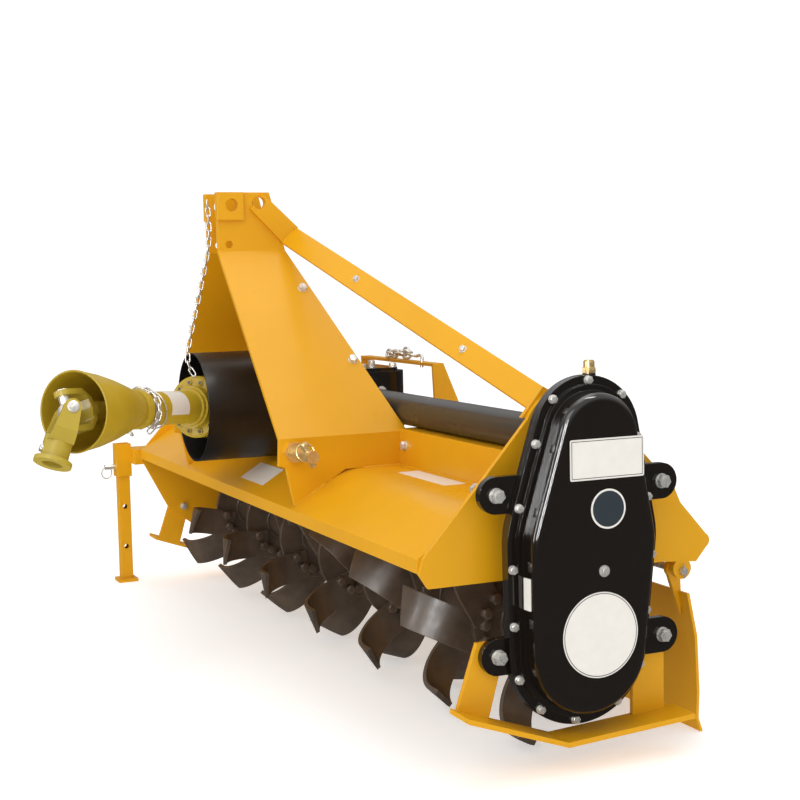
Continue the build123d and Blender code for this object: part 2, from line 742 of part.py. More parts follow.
with BuildPart() as stand_pin:
    with BuildSketch(Plane(origin=(stand_x, stand_y - sleeve_side / 2, sleeve_low_z + 24), z_dir=(0, -1, 0))):
        Circle(stand_pin_radius)
    extrude(amount=26)
write(stand_pin, "stand_pin")

# ---- driveline --------------------------------------------------------------------
with BuildPart() as pto_shield:
    with BuildSketch(along_y(shield_rear_y)):
        Circle(shield_radius)
        Circle(shield_radius - shield_wall, mode=Mode.SUBTRACT)
    extrude(amount=shield_rear_y - shield_front_y)
    with BuildSketch(along_y(shield_rear_y)):
        Circle(shield_radius)
        Circle(shaft_radius + 6, mode=Mode.SUBTRACT)
    extrude(amount=shield_wall)
write(pto_shield, "pto_shield")


with BuildPart() as input_shaft:
    with BuildSketch(along_y(shield_rear_y + 45)):
        Circle(shaft_radius)
    extrude(amount=shield_rear_y + 45 - knuckle_y - knuckle_half)
    with BuildSketch(along_y(knuckle_y + knuckle_half + 30)):
        Circle(knuckle_radius)
    extrude(amount=30)
write(input_shaft, "input_shaft")

drive_axis = Axis(drive_base, drive_line)
drive_section = Plane(origin=drive_base, x_dir=drive_line, z_dir=drive_level)   # local x runs along it
tube_slide = 0.3           # the cone's tube slides in the bell's tube
inner_tube_radius = guard_tube_radius - guard_wall - tube_slide
with BuildPart() as guard_bell:
    with BuildSketch(drive_section):
        with BuildLine():
            Polyline(
                (bell_tube_end, guard_tube_radius - guard_wall),
                (bell_tube_end, guard_tube_radius),
                (bell_front + 24, guard_tube_radius),
                (bell_front + 24, guard_tube_radius + 5),
                (bell_front + 17, guard_tube_radius + 5),
                (bell_front + 17, guard_tube_radius + 9.5),
                (bell_front, guard_tube_radius + 9.5),
                (bell_front, bell_radius - 4),
                (bell_front - 4, bell_radius),
                (0, bell_radius),
                (0, bell_radius - guard_wall),
                (bell_front - guard_wall, bell_radius - guard_wall),
                (bell_front - guard_wall, guard_tube_radius - guard_wall),
                close=True,
            )
        make_face()
    revolve(axis=drive_axis)
write(guard_bell, "guard_bell")

with BuildPart() as guard_cone:
    with BuildSketch(drive_section):
        with BuildLine():
            Polyline(
                *cone_line,
                *[(run, radius - guard_wall) for run, radius in reversed(cone_line[1:])],
                (cone_line[0][0], inner_tube_radius - guard_wall),
                (cone_line[0][0] - cone_overlap, inner_tube_radius - guard_wall),
                (cone_line[0][0] - cone_overlap, inner_tube_radius),
                (cone_line[0][0], inner_tube_radius),
                close=True,
            )
        make_face()
    revolve(axis=drive_axis)
write(guard_cone, "guard_cone")

with BuildPart() as drive_shaft:
    with BuildSketch(along_drive(knuckle_half)):
        Circle(shaft_radius)
    extrude(amount=joint_run - inner_yoke_reach - knuckle_half)
    with BuildSketch(along_drive(knuckle_half)):
        Circle(knuckle_radius)
    extrude(amount=bell_front - knuckle_half - 8)
write(drive_shaft, "drive_shaft")


def yoke(reach, hub_length, hub_radius):
    """A yoke at the joint's centre, ears along local X, hub towards local -Y."""
    outer = yoke_gap + yoke_ear_wall
    throat = reach - hub_length
    base = throat + yoke_ear_wall
    with BuildPart() as fork:
        with BuildSketch():
            with BuildLine():
                Polyline((yoke_gap, yoke_eye_radius), (outer, yoke_eye_radius), (outer, yoke_corner - throat),
                         (hub_radius, -base), (-hub_radius, -base), (-outer, yoke_corner - throat),
                         (-outer, yoke_eye_radius), (-yoke_gap, yoke_eye_radius),
                         (-yoke_gap, yoke_corner - throat),
                         (yoke_corner - yoke_gap, -throat), (yoke_gap - yoke_corner, -throat),
                         (yoke_gap, yoke_corner - throat), close=True)
            make_face()
        extrude(amount=hub_radius, both=True)
        with BuildSketch(Plane.YZ):
            Circle(yoke_eye_radius)
            with Locations((-base, 0)):
                Circle(hub_radius - 2)
            make_hull()
        extrude(amount=outer, both=True, mode=Mode.INTERSECT)
        with BuildSketch(Plane.XZ.offset(throat)):
            Circle(hub_radius)
        extrude(amount=hub_length)
        with BuildSketch(Plane.YZ):
            Circle(cross_pin_radius + running_gap)
        extrude(amount=outer + 5, both=True, mode=Mode.SUBTRACT)
    return fork.part


with BuildPart() as inner_yoke:
    with Locations(Plane(origin=joint_centre, x_dir=inner_pins, z_dir=inner_pins.cross(drive_line)).location):
        add(yoke(inner_yoke_reach, inner_hub_length, inner_hub_radius))
write(inner_yoke, "inner_yoke")

with BuildPart() as outer_yoke:
    with Locations(Plane(origin=joint_centre, x_dir=outer_pins, z_dir=yoke_line.cross(outer_pins)).location):
        add(yoke(yoke_reach, yoke_hub_length, yoke_hub_radius))
    with BuildSketch(Plane(origin=yoke_end, x_dir=outer_pins, z_dir=-yoke_line)):
        Circle(yoke_collar_radius)
    extrude(amount=yoke_collar_wall)
    with BuildSketch(Plane(origin=yoke_end, x_dir=outer_pins, z_dir=-yoke_line)):
        Circle(yoke_bore_radius)
    extrude(amount=yoke_hub_length - 4, mode=Mode.SUBTRACT)
write(outer_yoke, "outer_yoke")

with BuildPart() as joint_cross:
    with Locations(joint_centre):
        Sphere(17)
    for pins in (outer_pins, inner_pins):
        with Locations(Plane(origin=joint_centre, z_dir=pins).location):
            Cylinder(cross_pin_radius, 2 * (yoke_gap + yoke_ear_wall))
write(joint_cross, "joint_cross")


# ---- chains -----------------------------------------------------------------------
def link(length, width, wire):
    """A flat chain link along local X, an eight-sided loop."""
    with BuildPart() as ring:
        with BuildSketch(Plane.XY.offset(-wire / 2)):
            for inset, mode in ((0, Mode.ADD), (wire, Mode.SUBTRACT)):
                x, y = length / 2 - inset, width / 2 - inset
                cut = 0.6 * y
                Polygon((x, y - cut), (x - cut, y), (cut - x, y), (-x, y - cut),
                        (-x, cut - y), (cut - x, -y), (x - cut, -y), (x, cut - y), mode=mode)
        extrude(amount=wire)
    return ring.part


def chain(route, length, width, wire):
    """Links along a route of points, each a quarter turn from the last."""
    pitch = length - 2 * wire - 0.6
    piece = link(length, width, wire)
    with BuildPart() as links:
        at, count = 0.0, 0
        total = sum((Vector(b) - Vector(a)).length for a, b in zip(route, route[1:]))
        while at + pitch <= total:
            left = at + pitch / 2
            for a, b in zip(route, route[1:]):
                run = Vector(b) - Vector(a)
                if left <= run.length:
                    break
                left -= run.length
            middle = Vector(a) + run.normalized() * left
            side = Vector(1, 0, 0) if abs(run.normalized().X) < 0.9 else Vector(0, 1, 0)
            normal = side if count % 2 else run.cross(side)
            with Locations(Plane(origin=middle, x_dir=run, z_dir=normal).location):
                add(piece)
            at += pitch
            count += 1
    return links


# The guard's chain hangs from the mast, bends clear of the shield's mouth and holds the bell's rim.
bell_rise = drive_line.cross(drive_level)
support_route = [
    Vector(hitch_x, hitch_hole_y - 36, mast_top_z - 15),
    Vector(hitch_x + 22, shield_front_y - 14, drive_z + shield_radius + 2),
    drive_base + drive_line * (bell_front + 8) + bell_rise * (bell_radius - 6),
]
write(chain(support_route, 26, 15, 4), "support_chain")
bracket_middle = (hitch_x, bracket_front_y + bracket_flange / 2, bracket_top_z + 11)
tail_route = [Vector(bracket_middle) + Vector(-20, 0, 0), Vector(bracket_middle) + Vector(80, 0, 0)]
write(chain(tail_route, 34, 21, 6), "tailboard_chain")
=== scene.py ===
"""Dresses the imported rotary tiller: paint, fasteners, chains, blank labels, welds, floor and light."""
import json
from math import atan2, cos, degrees, pi, radians, sin, sqrt

import bmesh
import bpy
from bpy.props import FloatProperty, FloatVectorProperty, PointerProperty
from mathutils import Matrix, Vector
from mathutils.geometry import interpolate_bezier, intersect_point_line


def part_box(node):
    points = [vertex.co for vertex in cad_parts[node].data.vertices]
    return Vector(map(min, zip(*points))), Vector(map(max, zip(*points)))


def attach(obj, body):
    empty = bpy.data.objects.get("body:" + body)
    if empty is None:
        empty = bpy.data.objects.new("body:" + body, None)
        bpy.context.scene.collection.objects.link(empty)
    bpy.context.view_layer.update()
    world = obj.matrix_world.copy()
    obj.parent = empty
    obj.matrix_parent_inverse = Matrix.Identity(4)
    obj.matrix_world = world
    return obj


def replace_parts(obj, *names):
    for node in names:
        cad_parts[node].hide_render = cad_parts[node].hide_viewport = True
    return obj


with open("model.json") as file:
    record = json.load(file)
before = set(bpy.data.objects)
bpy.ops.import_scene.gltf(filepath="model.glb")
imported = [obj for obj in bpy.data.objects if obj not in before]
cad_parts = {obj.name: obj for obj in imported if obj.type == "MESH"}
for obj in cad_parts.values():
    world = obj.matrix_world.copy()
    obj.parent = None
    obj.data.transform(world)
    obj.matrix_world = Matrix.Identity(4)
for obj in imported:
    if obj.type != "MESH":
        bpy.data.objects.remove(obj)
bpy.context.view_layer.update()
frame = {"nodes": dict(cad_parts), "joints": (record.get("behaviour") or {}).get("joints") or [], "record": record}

bl_info = {
    "name": "Rotary Tiller Dressing",
    "version": (1, 1, 0),
    "blender": (4, 5, 0),
    "location": "View3D > Sidebar > Tiller",
    "description": "Paint, fasteners, chains, labels and stage for a three-point rotary tiller",
    "category": "Object",
}

X, Y, Z = Vector((1, 0, 0)), Vector((0, 1, 0)), Vector((0, 0, 1))
MACHINE = "machine"

# Where the frame says things are. Lengths in mm below are the CAD source's own.
HINGE_LOW, HINGE_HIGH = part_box("hinge_rod")
SHIFT = (HINGE_LOW.y + HINGE_HIGH.y) / 2 - 0.398


def mm(x, y, z):
    """A point of the CAD source, in millimetres, as a place in the frame."""
    return Vector((x / 1000, y / 1000 + SHIFT, z / 1000))


def joint(name):
    """A joint of the record: (its place, its axis)."""
    found = next(j for j in frame["joints"] if j["name"] == name)
    return Vector(found["pos_m"]), Vector(found["axis"]).normalized()


ROTOR_PLACE = joint("rotor_spin")[0]
DRIVE_BASE, DRIVE_LINE = joint("driveline_spin")
DRIVE_LEVEL = Z.cross(DRIVE_LINE).normalized()
DRIVE_RISE = DRIVE_LINE.cross(DRIVE_LEVEL)
CROSS_PLACE, INNER_PINS = joint("yoke_turn")
OUTER_PINS = joint("yoke_swing")[1]
SOCKET = next(m for m in frame["record"]["mounts"] if m["name"] == "pto_socket")
YOKE_LINE = Vector(SOCKET["axis"]).normalized()

# Hitch frame, deck and side plates, mm.
HITCH_X = -92.0
PANEL_HALF, MAST_OUTER = 344.0, 38.0
MAST_BEND_Z, PANEL_BEND_Z = 805.0, 463.0
PANEL_OUT = Vector((MAST_BEND_Z - PANEL_BEND_Z, 0, PANEL_HALF - MAST_OUTER)).normalized()
PANEL_BOLTS = ((14.1, 54.2, 728.9), (136.7, 106.9, 591.8))
PANEL_FOOT_BOLT = (370.8, 150, 438.1)
BRACE_TOP, BRACE_FOOT = (44, 55, 833), (7, 150, 556)
BRACE_BOLT_SHARES = (0.325, 0.748)
LOWER_PIN_Y, LOWER_PIN_Z, LYNCH_PIN_OUT = -58, 438, 74
INNER_FACE, FAR_INNER = 789.0, -814.0
DECK_Z, DECK_FRONT_Y = 400, -68
DECK_FALL_RUN, DECK_FALL = 108, 66
HINGE_PIN_Y, HINGE_PIN_Z = 398, 270

# Gear case, mm: the lobes of its outline as (y, z, radius), and (y, z) places on its faces.
CASE_LOBES = ((188, 508, 91), (179, 350, 130), (171, 188.96, 120))
CASE_FOOT_Y, CASE_FOOT_Z, CASE_LEAN = 171, 189, 0.0533
EAR_FACE, FLANGE_FACE, DOME_FACE = 846.0, 855.0, 895.0
RIM_BOLT_INSET = 7.2
RIM_END_BOLTS = ((189, 592), (161, 78), (249, 569))
RIM_FRONT_BOLTS = ((125, 569), (89, 504), (61, 410), (51, 317), (51, 231), (59, 148), (99, 98))
EAR_YS, UPPER_EAR_Z, LOWER_EAR_Z = (36, 326), 428, 186
VENT = (833, 205, 600)
CASE_WALL_INSET, TAG_X, TAG_PLACE = 22.9, 873, (60, 282)
WIDE_LABEL, SMALL_LABEL, ROUND_LABEL, LEVEL_PLUG = (197, 477.5), (198, 402), (183, 213), (190, 309)

# Far side's bearing and skid faces, and the gearbox, mm.
BEARING_FACE, SKID_FACE = -852, -830
BEARING_CENTRE, BEARING_BOLT_CIRCLE = (176, 188.959), 41
DRIVE_Z = 498
GEARBOX_LID_Y, GEARBOX_LID_Z, GEARBOX_LID_THICK = 200, 555.5, 7
GEARBOX_CAP_X, GEARBOX_CAP_Y, GEARBOX_CAP_CIRCLE = 96, 188, 42

# Rotor: flanges and tines, mm and degrees.
FIRST_FLANGE_X, FLANGE_PITCH, FLANGES = -693, 226.84, 7
FLANGE_XS = tuple(FIRST_FLANGE_X + FLANGE_PITCH * k for k in range(FLANGES))
PAIRS, HELIX_STEP, PAIR_SPREAD = 3, 12.0, 36.0
TINE_REACH, TIP_BACK = 190, 81
TIP_LEAD = degrees(atan2(TIP_BACK, sqrt(TINE_REACH ** 2 - TIP_BACK ** 2)))
FIRST_TINE = 180 - TIP_LEAD - 6.5 * HELIX_STEP

# Driveline's guard: runs from the hidden joint and radii, mm.
BELL_SCREWS, BELL_SCREW_RUN, BELL_SCREW_RADIUS = 12, 51, 49.5
BELL_RIM_RUN, CONE_RIM_RUN, COLLAR_RUN = 46.5, 429, 238

# Small sizes, in metres.
TINE_BOLTS = ((-0.054, 0.056), (-0.029, 0.068))
LABEL_SHEET = 0.0005
LINK_LONG, LINK_WIDE = 0.0215, 0.012
HEAVY_LONG, HEAVY_WIDE, HEAVY_WIRE = 0.034, 0.021, 0.0055
EDGE_ROUND = 0.0015


def on_drive(run, radius, angle):
    """A place round the driveline: run ahead of the hidden joint, angle from the top."""
    turned = DRIVE_RISE * cos(radians(angle)) + DRIVE_LEVEL * sin(radians(angle))
    return DRIVE_BASE + (DRIVE_LINE * run + turned * radius) / 1000


def colour(name, text, default):
    """A colour that the user can change."""
    return FloatVectorProperty(
        name=name, description=text, subtype="COLOR", size=3, min=0, max=1, default=default,
    )


def length(name, text, default):
    """A length in metres that the user can change."""
    return FloatProperty(
        name=name, description=text, subtype="DISTANCE", unit="LENGTH", min=0, default=default,
    )


class TillerPaint(bpy.types.PropertyGroup):
    """Colours of the finishes."""

    frame_yellow: colour("Frame yellow", "Enamel on the deck, hitch and skids", (0.76, 0.368, 0.007))
    case_black: colour("Case black", "Gloss enamel on the gear case", (0.0085, 0.0060, 0.0042))
    tube_grey: colour("Tube grey", "Paint on the cross tube", (0.036, 0.035, 0.032))
    tine_brown: colour("Tine brown", "Dip paint on the tines", (0.088, 0.061, 0.040))
    guard_olive: colour("Guard olive", "Moulded driveline guard", (0.52, 0.355, 0.020))
    yoke_khaki: colour("Yoke khaki", "Paint on the joint's yokes", (0.52, 0.385, 0.042))
    zinc: colour("Zinc", "Plate on bolts and chains", (0.80, 0.78, 0.73))
    brass: colour("Brass", "Vent and lynch pins", (0.80, 0.58, 0.26))
    label_white: colour("Label white", "Blank labels", (0.84, 0.81, 0.75))


class TillerFasteners(bpy.types.PropertyGroup):
    """Sizes of the bolts, chains and welds."""

    case_bolt: length("Case bolt", "Across the flats of the case's bolts", 0.0115)
    ear_bolt: length("Ear bolt", "Across the flats of the bolts through the ears", 0.019)
    frame_bolt: length("Frame bolt", "Across the flats of the hitch frame's bolts", 0.0145)
    tine_bolt: length("Tine bolt", "Across the flats of the tines' bolts", 0.018)
    chain_wire: length("Chain wire", "Thickness of the chains' wire", 0.0032)
    weld_bead: length("Weld bead", "Radius of a weld bead", 0.0028)


class TillerStage(bpy.types.PropertyGroup):
    """Floor, light and camera."""

    floor_size: length("Floor size", "Side of the floor", 40.0)
    key_power: FloatProperty(name="Key light", description="Power in watts", min=0, default=36)
    fill: FloatProperty(name="Fill", description="Brightness of the studio all round", min=0, default=0.80)
    camera_place: FloatVectorProperty(
        name="Camera place", description="Where the camera stands", subtype="TRANSLATION",
        default=(2.7564, -0.9445, 0.7611),
    )
    camera_yaw: FloatProperty(name="Yaw", description="0 looks along +Y and 90 along -X", default=65.7)
    camera_pitch: FloatProperty(name="Pitch", description="Degrees below the level", default=5.0)
    camera_roll: FloatProperty(name="Roll", description="Degrees that the right side tips down", default=1.2)
    camera_lens: FloatProperty(name="Lens", description="Focal length in millimetres", default=66.8)


# ---- materials --------------------------------------------------------------------
MATERIALS = {}
DUST = (0.5, 0.42, 0.3)


class Nodes:
    """Short calls for a material's node tree."""

    def __init__(self, name):
        self.material = bpy.data.materials.new(name)
        self.material.use_nodes = True
        self.tree = self.material.node_tree
        self.shader = self.tree.nodes["Principled BSDF"]
        self.place = self.tree.nodes.new("ShaderNodeTexCoord").outputs["Object"]
        MATERIALS[name] = self.material

    def link(self, source, target):
        self.tree.links.new(source, target)

    def noise(self, scale, detail=4.0, roughness=0.55, stretch=None):
        """Noise of scale cells a metre; stretch squeezes it along each axis."""
        node = self.tree.nodes.new("ShaderNodeTexNoise")
        node.inputs["Scale"].default_value = scale
        node.inputs["Detail"].default_value = detail
        node.inputs["Roughness"].default_value = roughness
        place = self.place
        if stretch:
            mapping = self.tree.nodes.new("ShaderNodeMapping")
            mapping.inputs["Scale"].default_value = stretch
            self.link(place, mapping.inputs["Vector"])
            place = mapping.outputs["Vector"]
        self.link(place, node.inputs["Vector"])
        return node.outputs["Fac"]

    def ramp(self, source, stops):
        """Colours or greys at places along source."""
        node = self.tree.nodes.new("ShaderNodeValToRGB")
        elements = node.color_ramp.elements
        while len(elements) < len(stops):
            elements.new(0.5)
        for element, (place, shade) in zip(elements, stops):
            element.position = place
            element.color = (*shade, 1) if hasattr(shade, "__len__") else (shade, shade, shade, 1)
        self.link(source, node.inputs["Fac"])
        return node.outputs["Color"]

    def mix(self, share, a, b):
        """Colour a going to b by share."""
        node = self.tree.nodes.new("ShaderNodeMix")
        node.data_type = "RGBA"
        for socket, value in ((node.inputs[6], a), (node.inputs[7], b)):
            if isinstance(value, bpy.types.NodeSocket):
                self.link(value, socket)
            else:
                socket.default_value = (*value, 1)
        self.link(share, node.inputs[0])
        return node.outputs[2]

    def bump(self, source, distance, strength=1.0, before=None):
        """A bump of source, distance metres high."""
        node = self.tree.nodes.new("ShaderNodeBump")
        node.inputs["Strength"].default_value = strength
        node.inputs["Distance"].default_value = distance
        self.link(source, node.inputs["Height"])
        if before:
            self.link(before, node.inputs["Normal"])
        return node.outputs["Normal"]

    def soft_edges(self, radius):
        """A normal that rounds sharp edges over radius, and how far it leans from the true one."""
        bevel = self.tree.nodes.new("ShaderNodeBevel")
        bevel.samples = 6
        bevel.inputs["Radius"].default_value = radius
        lean = self.tree.nodes.new("ShaderNodeVectorMath")
        lean.operation = "DOT_PRODUCT"
        self.link(bevel.outputs["Normal"], lean.inputs[0])
        self.link(self.tree.nodes.new("ShaderNodeNewGeometry").outputs["Normal"], lean.inputs[1])
        return bevel.outputs["Normal"], lean.outputs["Value"]

    def set(self, **values):
        for name, value in values.items():
            self.shader.inputs[name.replace("_", " ")].default_value = value


def scaled(shade, factor):
    """A colour made lighter or darker."""
    return tuple(min(1.0, c * factor) for c in shade)


def enamel(name, shade, rough, coat, peel, edge_highlight=1.12, specular=0.5, mottle=0.05, dusty=0.03):
    """Sprayed gloss paint: slow drift of shade, faint dust, orange-peel, and a painted highlight that lightens the
    rounded edges.
    """
    n = Nodes(name)
    drift_share = n.ramp(n.noise(3.1, 3), [(0.3, 0.0), (0.7, 1.0)])
    drift = n.mix(drift_share, scaled(shade, 1 - mottle), scaled(shade, 1 + mottle))
    specks = n.ramp(n.noise(46, 6, 0.7), [(0.58, 0.0), (0.8, dusty)])
    dusted = n.mix(specks, drift, DUST)
    normal, lean = n.soft_edges(EDGE_ROUND)
    # Painted highlight: the base colour grows lighter where the rounded normal leans from the true one, along
    # every sharp edge.
    rim = n.ramp(lean, [(0.80, 1.0), (0.985, 0.0)])
    n.link(n.mix(rim, dusted, scaled(shade, edge_highlight)), n.shader.inputs["Base Color"])
    gloss = n.ramp(n.noise(9, 5, 0.6), [(0.3, rough * 0.8), (0.75, rough * 1.3)])
    n.link(gloss, n.shader.inputs["Roughness"])
    n.link(n.bump(n.noise(420, 2, 0.4), peel, 0.6, normal), n.shader.inputs["Normal"])
    n.set(Coat_Weight=coat, Coat_Roughness=0.06, IOR=1.5, Specular_IOR_Level=specular)
    return n.material


def bare_metal(name, shade, rough, grain, metallic=1.0):
    """Plated or bare metal with fine scratches and dull patches."""
    n = Nodes(name)
    drift = n.mix(n.ramp(n.noise(60, 4), [(0.35, 0.0), (0.7, 1.0)]), scaled(shade, 0.78), shade)
    n.link(drift, n.shader.inputs["Base Color"])
    gloss = n.ramp(n.noise(180, 4, 0.65), [(0.3, rough * 0.7), (0.7, rough * 1.5)])
    n.link(gloss, n.shader.inputs["Roughness"])
    n.link(n.bump(n.noise(grain, 3, 0.6), 0.0001, 0.5), n.shader.inputs["Normal"])
    n.set(Metallic=metallic)
    return n.material


def moulded(name, shade, rough):
    """Moulded plastic with a pebbled skin and scuffs."""
    n = Nodes(name)
    drift = n.mix(n.ramp(n.noise(7, 3), [(0.3, 0.0), (0.7, 1.0)]), scaled(shade, 0.86), scaled(shade, 1.08))
    scuffs = n.ramp(n.noise(30, 6, 0.75, (1, 0.3, 1)), [(0.6, 0.0), (0.8, 0.2)])
    n.link(n.mix(scuffs, drift, scaled(shade, 1.5)), n.shader.inputs["Base Color"])
    n.link(n.ramp(n.noise(22, 5), [(0.3, rough * 0.8), (0.7, rough * 1.3)]), n.shader.inputs["Roughness"])
    n.link(n.bump(n.noise(700, 2), 0.0001, 0.5, n.soft_edges(EDGE_ROUND)[0]), n.shader.inputs["Normal"])
    n.set(IOR=1.47, Specular_IOR_Level=0.3)
    return n.material


def dipped(name, shade, rough):
    """Dip paint on forged steel, with forge scale under it and a painted highlight along the edges."""
    n = Nodes(name)
    drift_share = n.ramp(n.noise(14, 6, 0.65), [(0.35, 0.0), (0.7, 1.0)])
    drift = n.mix(drift_share, scaled(shade, 0.7), scaled(shade, 1.4))
    normal, lean = n.soft_edges(0.0016)
    # Painted highlight: the base colour three times lighter along rounded edges.
    rim = n.ramp(lean, [(0.78, 0.8), (0.98, 0.0)])
    n.link(n.mix(rim, drift, scaled(shade, 3.0)), n.shader.inputs["Base Color"])
    gloss = n.ramp(n.noise(40, 5, 0.6), [(0.3, rough * 0.75), (0.7, rough * 1.25)])
    n.link(gloss, n.shader.inputs["Roughness"])
    scale = n.bump(n.noise(90, 6, 0.6), 0.0004, 0.5, normal)
    n.link(n.bump(n.noise(500, 2), 0.0001, 0.3, scale), n.shader.inputs["Normal"])
    n.set(IOR=1.5, Coat_Weight=0.12, Coat_Roughness=0.3)
    return n.material


def paper(name, shade):
    """Printed film: nearly even, slightly glossy."""
    n = Nodes(name)
    fade = n.ramp(n.noise(55, 5), [(0.3, 0.0), (0.7, 1.0)])
    n.link(n.mix(fade, scaled(shade, 0.95), shade), n.shader.inputs["Base Color"])
    n.link(n.ramp(n.noise(25, 3), [(0.3, 0.3), (0.7, 0.42)]), n.shader.inputs["Roughness"])
    n.set(IOR=1.5)
    return n.material


# ---- piece building ---------------------------------------------------------------
def finish_piece(name, bm, material, body, smooth=40):
    """Turn a bmesh into a finished piece that rides on a body."""
    bmesh.ops.recalc_face_normals(bm, faces=bm.faces)
    mesh = bpy.data.meshes.new(name)
    bm.to_mesh(mesh)
    bm.free()
    mesh.materials.append(MATERIALS[material])
    piece = bpy.data.objects.new(name, mesh)
    bpy.context.scene.collection.objects.link(piece)
    for face in mesh.polygons:
        face.use_smooth = True
    mesh.set_sharp_from_angle(angle=radians(smooth))
    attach(piece, body)
    return piece


def template(build):
    """A shape that is copied many times: build fills a bmesh at the origin."""
    bm = bmesh.new()
    build(bm)
    mesh = bpy.data.meshes.new("template")
    bm.to_mesh(mesh)
    bm.free()
    return mesh


def put(bm, shape, place):
    """Add a copy of a template at a place given as a matrix."""
    before = set(bm.verts)
    bm.from_mesh(shape)
    bmesh.ops.transform(bm, matrix=place, verts=[v for v in bm.verts if v not in before])


def facing(at, axis, spin=0.0):
    """The matrix that stands a shape's +Z along axis at a point."""
    stand = axis.to_track_quat("Z", "Y").to_matrix().to_4x4()
    return Matrix.Translation(at) @ stand @ Matrix.Rotation(spin, 4, "Z")


def upright(at, normal, up):
    """The matrix that lays a flat shape on a face: its +Z along normal and its +Y nearest to up."""
    right = up.cross(normal).normalized()
    return Matrix.Translation(at) @ Matrix((right, normal.cross(right), normal)).transposed().to_4x4()


def disc(bm, radius, low, high, segments, soft=0.0):
    """A round slab about +Z from low to high with its top edge rounded by soft."""
    made = bmesh.ops.create_cone(
        bm, cap_ends=True, segments=segments, radius1=radius, radius2=radius,
        depth=high - low, matrix=Matrix.Translation((0, 0, (low + high) / 2)),
    )["verts"]
    if soft:
        rim = {e for v in made for e in v.link_edges if all(w.co.z > high - 1e-6 for w in e.verts)}
        bmesh.ops.bevel(
            bm, geom=list(rim), offset=soft, segments=2, profile=0.5, affect="EDGES", material=-1,
        )


def discs(*steps):
    """A shape of discs one on another; each step is (radius, low, high, segments, soft)."""

    def build(bm):
        for step in steps:
            disc(bm, *step)

    return template(build)


def bolt_shape(across, washer):
    """A hexagon head with a chamfered top on a washer, standing on z = 0."""
    thick = across * 0.1
    head = (
        (across / 3 ** 0.5, thick * 0.5, thick + across * 0.5, 6, across * 0.07),
        (across * 0.4, thick + across * 0.48, thick + across * 0.54, 16, across * 0.03),
    )
    if washer:
        return discs((washer, -0.0004, thick, 20, thick * 0.3), *head)
    return discs(*head)


def thicken(bm, by):
    """Give a flat sheet a thickness along +Z."""
    made = bmesh.ops.extrude_face_region(bm, geom=bm.faces[:])["geom"]
    bmesh.ops.translate(bm, vec=(0, 0, by), verts=[g for g in made if isinstance(g, bmesh.types.BMVert)])


def card(width, height, thick, corner=0.0):
    """A thin card on the XY plane with rounded corners."""

    def build(bm):
        bmesh.ops.create_grid(bm, x_segments=1, y_segments=1, size=0.5)
        bmesh.ops.scale(bm, vec=(width, height, 1), verts=bm.verts)
        if corner:
            bmesh.ops.bevel(
                bm, geom=bm.verts[:], offset=corner, segments=5, profile=0.5, affect="VERTICES", material=-1,
            )
        thicken(bm, thick)

    return template(build)


def border(bm, width, height, line, thick, place):
    """Four thin bars along the edges of a card."""
    for x, y, wide, high in (
        (0, height / 2, width, line), (0, -height / 2, width, line),
        (width / 2, 0, line, height), (-width / 2, 0, line, height),
    ):
        put(bm, card(wide, high, thick), place @ Matrix.Translation((x, y, 0)))


def spin_round(bm, steps):
    """Turn a ring of wire once round +Z."""
    bmesh.ops.spin(
        bm, geom=bm.verts[:] + bm.edges[:], cent=(0, 0, 0), axis=(0, 0, 1), angle=2 * pi, steps=steps,
        use_merge=True,
    )


def torus(major, minor, steps=28, sides=8):
    """A ring of round wire about +Z."""

    def build(bm):
        ring = bmesh.ops.create_circle(bm, cap_ends=False, segments=sides, radius=minor)["verts"]
        start = Matrix.Translation((major, 0, 0)) @ Matrix.Rotation(pi / 2, 4, "X")
        bmesh.ops.transform(bm, matrix=start, verts=ring)
        spin_round(bm, steps)

    return template(build)


def link_shape(long, wide, wire_size):
    """One welded chain link, long along X, flat in the XY plane, of round wire."""
    steps = 14

    def build(bm):
        ring = bmesh.ops.create_circle(bm, cap_ends=False, segments=7, radius=wire_size / 2)["verts"]
        out = Matrix.Translation(((wide - wire_size) / 2, 0, 0))
        start = Matrix.Rotation(pi / steps, 4, "Z") @ out @ Matrix.Rotation(pi / 2, 4, "X")
        bmesh.ops.transform(bm, matrix=start, verts=ring)
        spin_round(bm, steps)
        for v in bm.verts:
            v.co.x += (long - wide) / 2 * (1 if v.co.x > 0 else -1)

    return template(build)


def flowing(points, steps=7):
    """A smooth path through points."""
    ends = [points[0], *points, points[-1]]
    path = [points[0]]
    for before, a, b, after in zip(ends, ends[1:], ends[2:], ends[3:]):
        path += interpolate_bezier(a, a + (b - before) / 6, b - (after - a) / 6, b, steps)[1:]
    return path


def grow(bm, edges):
    """Extrude a ring of edges: the new ring's (verts, edges)."""
    made = bmesh.ops.extrude_edge_only(bm, edges=edges)["geom"]
    verts = [g for g in made if isinstance(g, bmesh.types.BMVert)]
    return verts, [g for g in made if isinstance(g, bmesh.types.BMEdge)]


def wire(bm, points, radius, sides=8):
    """Round wire along a path."""
    runs = [(b - a).normalized() for a, b in zip(points, points[1:])]
    ways = [runs[0], *[(a + b).normalized() for a, b in zip(runs, runs[1:])], runs[-1]]
    place = facing(points[0], ways[0])
    ring = bmesh.ops.create_circle(bm, cap_ends=True, segments=sides, radius=radius, matrix=place)["verts"]
    edges = list({e for v in ring for e in v.link_edges})
    for at, before, way in zip(points[1:], ways, ways[1:]):
        turn = before.rotation_difference(way).to_matrix().to_4x4()
        moved = Matrix.Translation(at) @ turn @ Matrix.Translation(-place.translation) @ place
        verts, edges = grow(bm, edges)
        bmesh.ops.transform(bm, matrix=moved @ place.inverted(), verts=verts)
        place = moved
    bmesh.ops.contextual_create(bm, geom=edges)


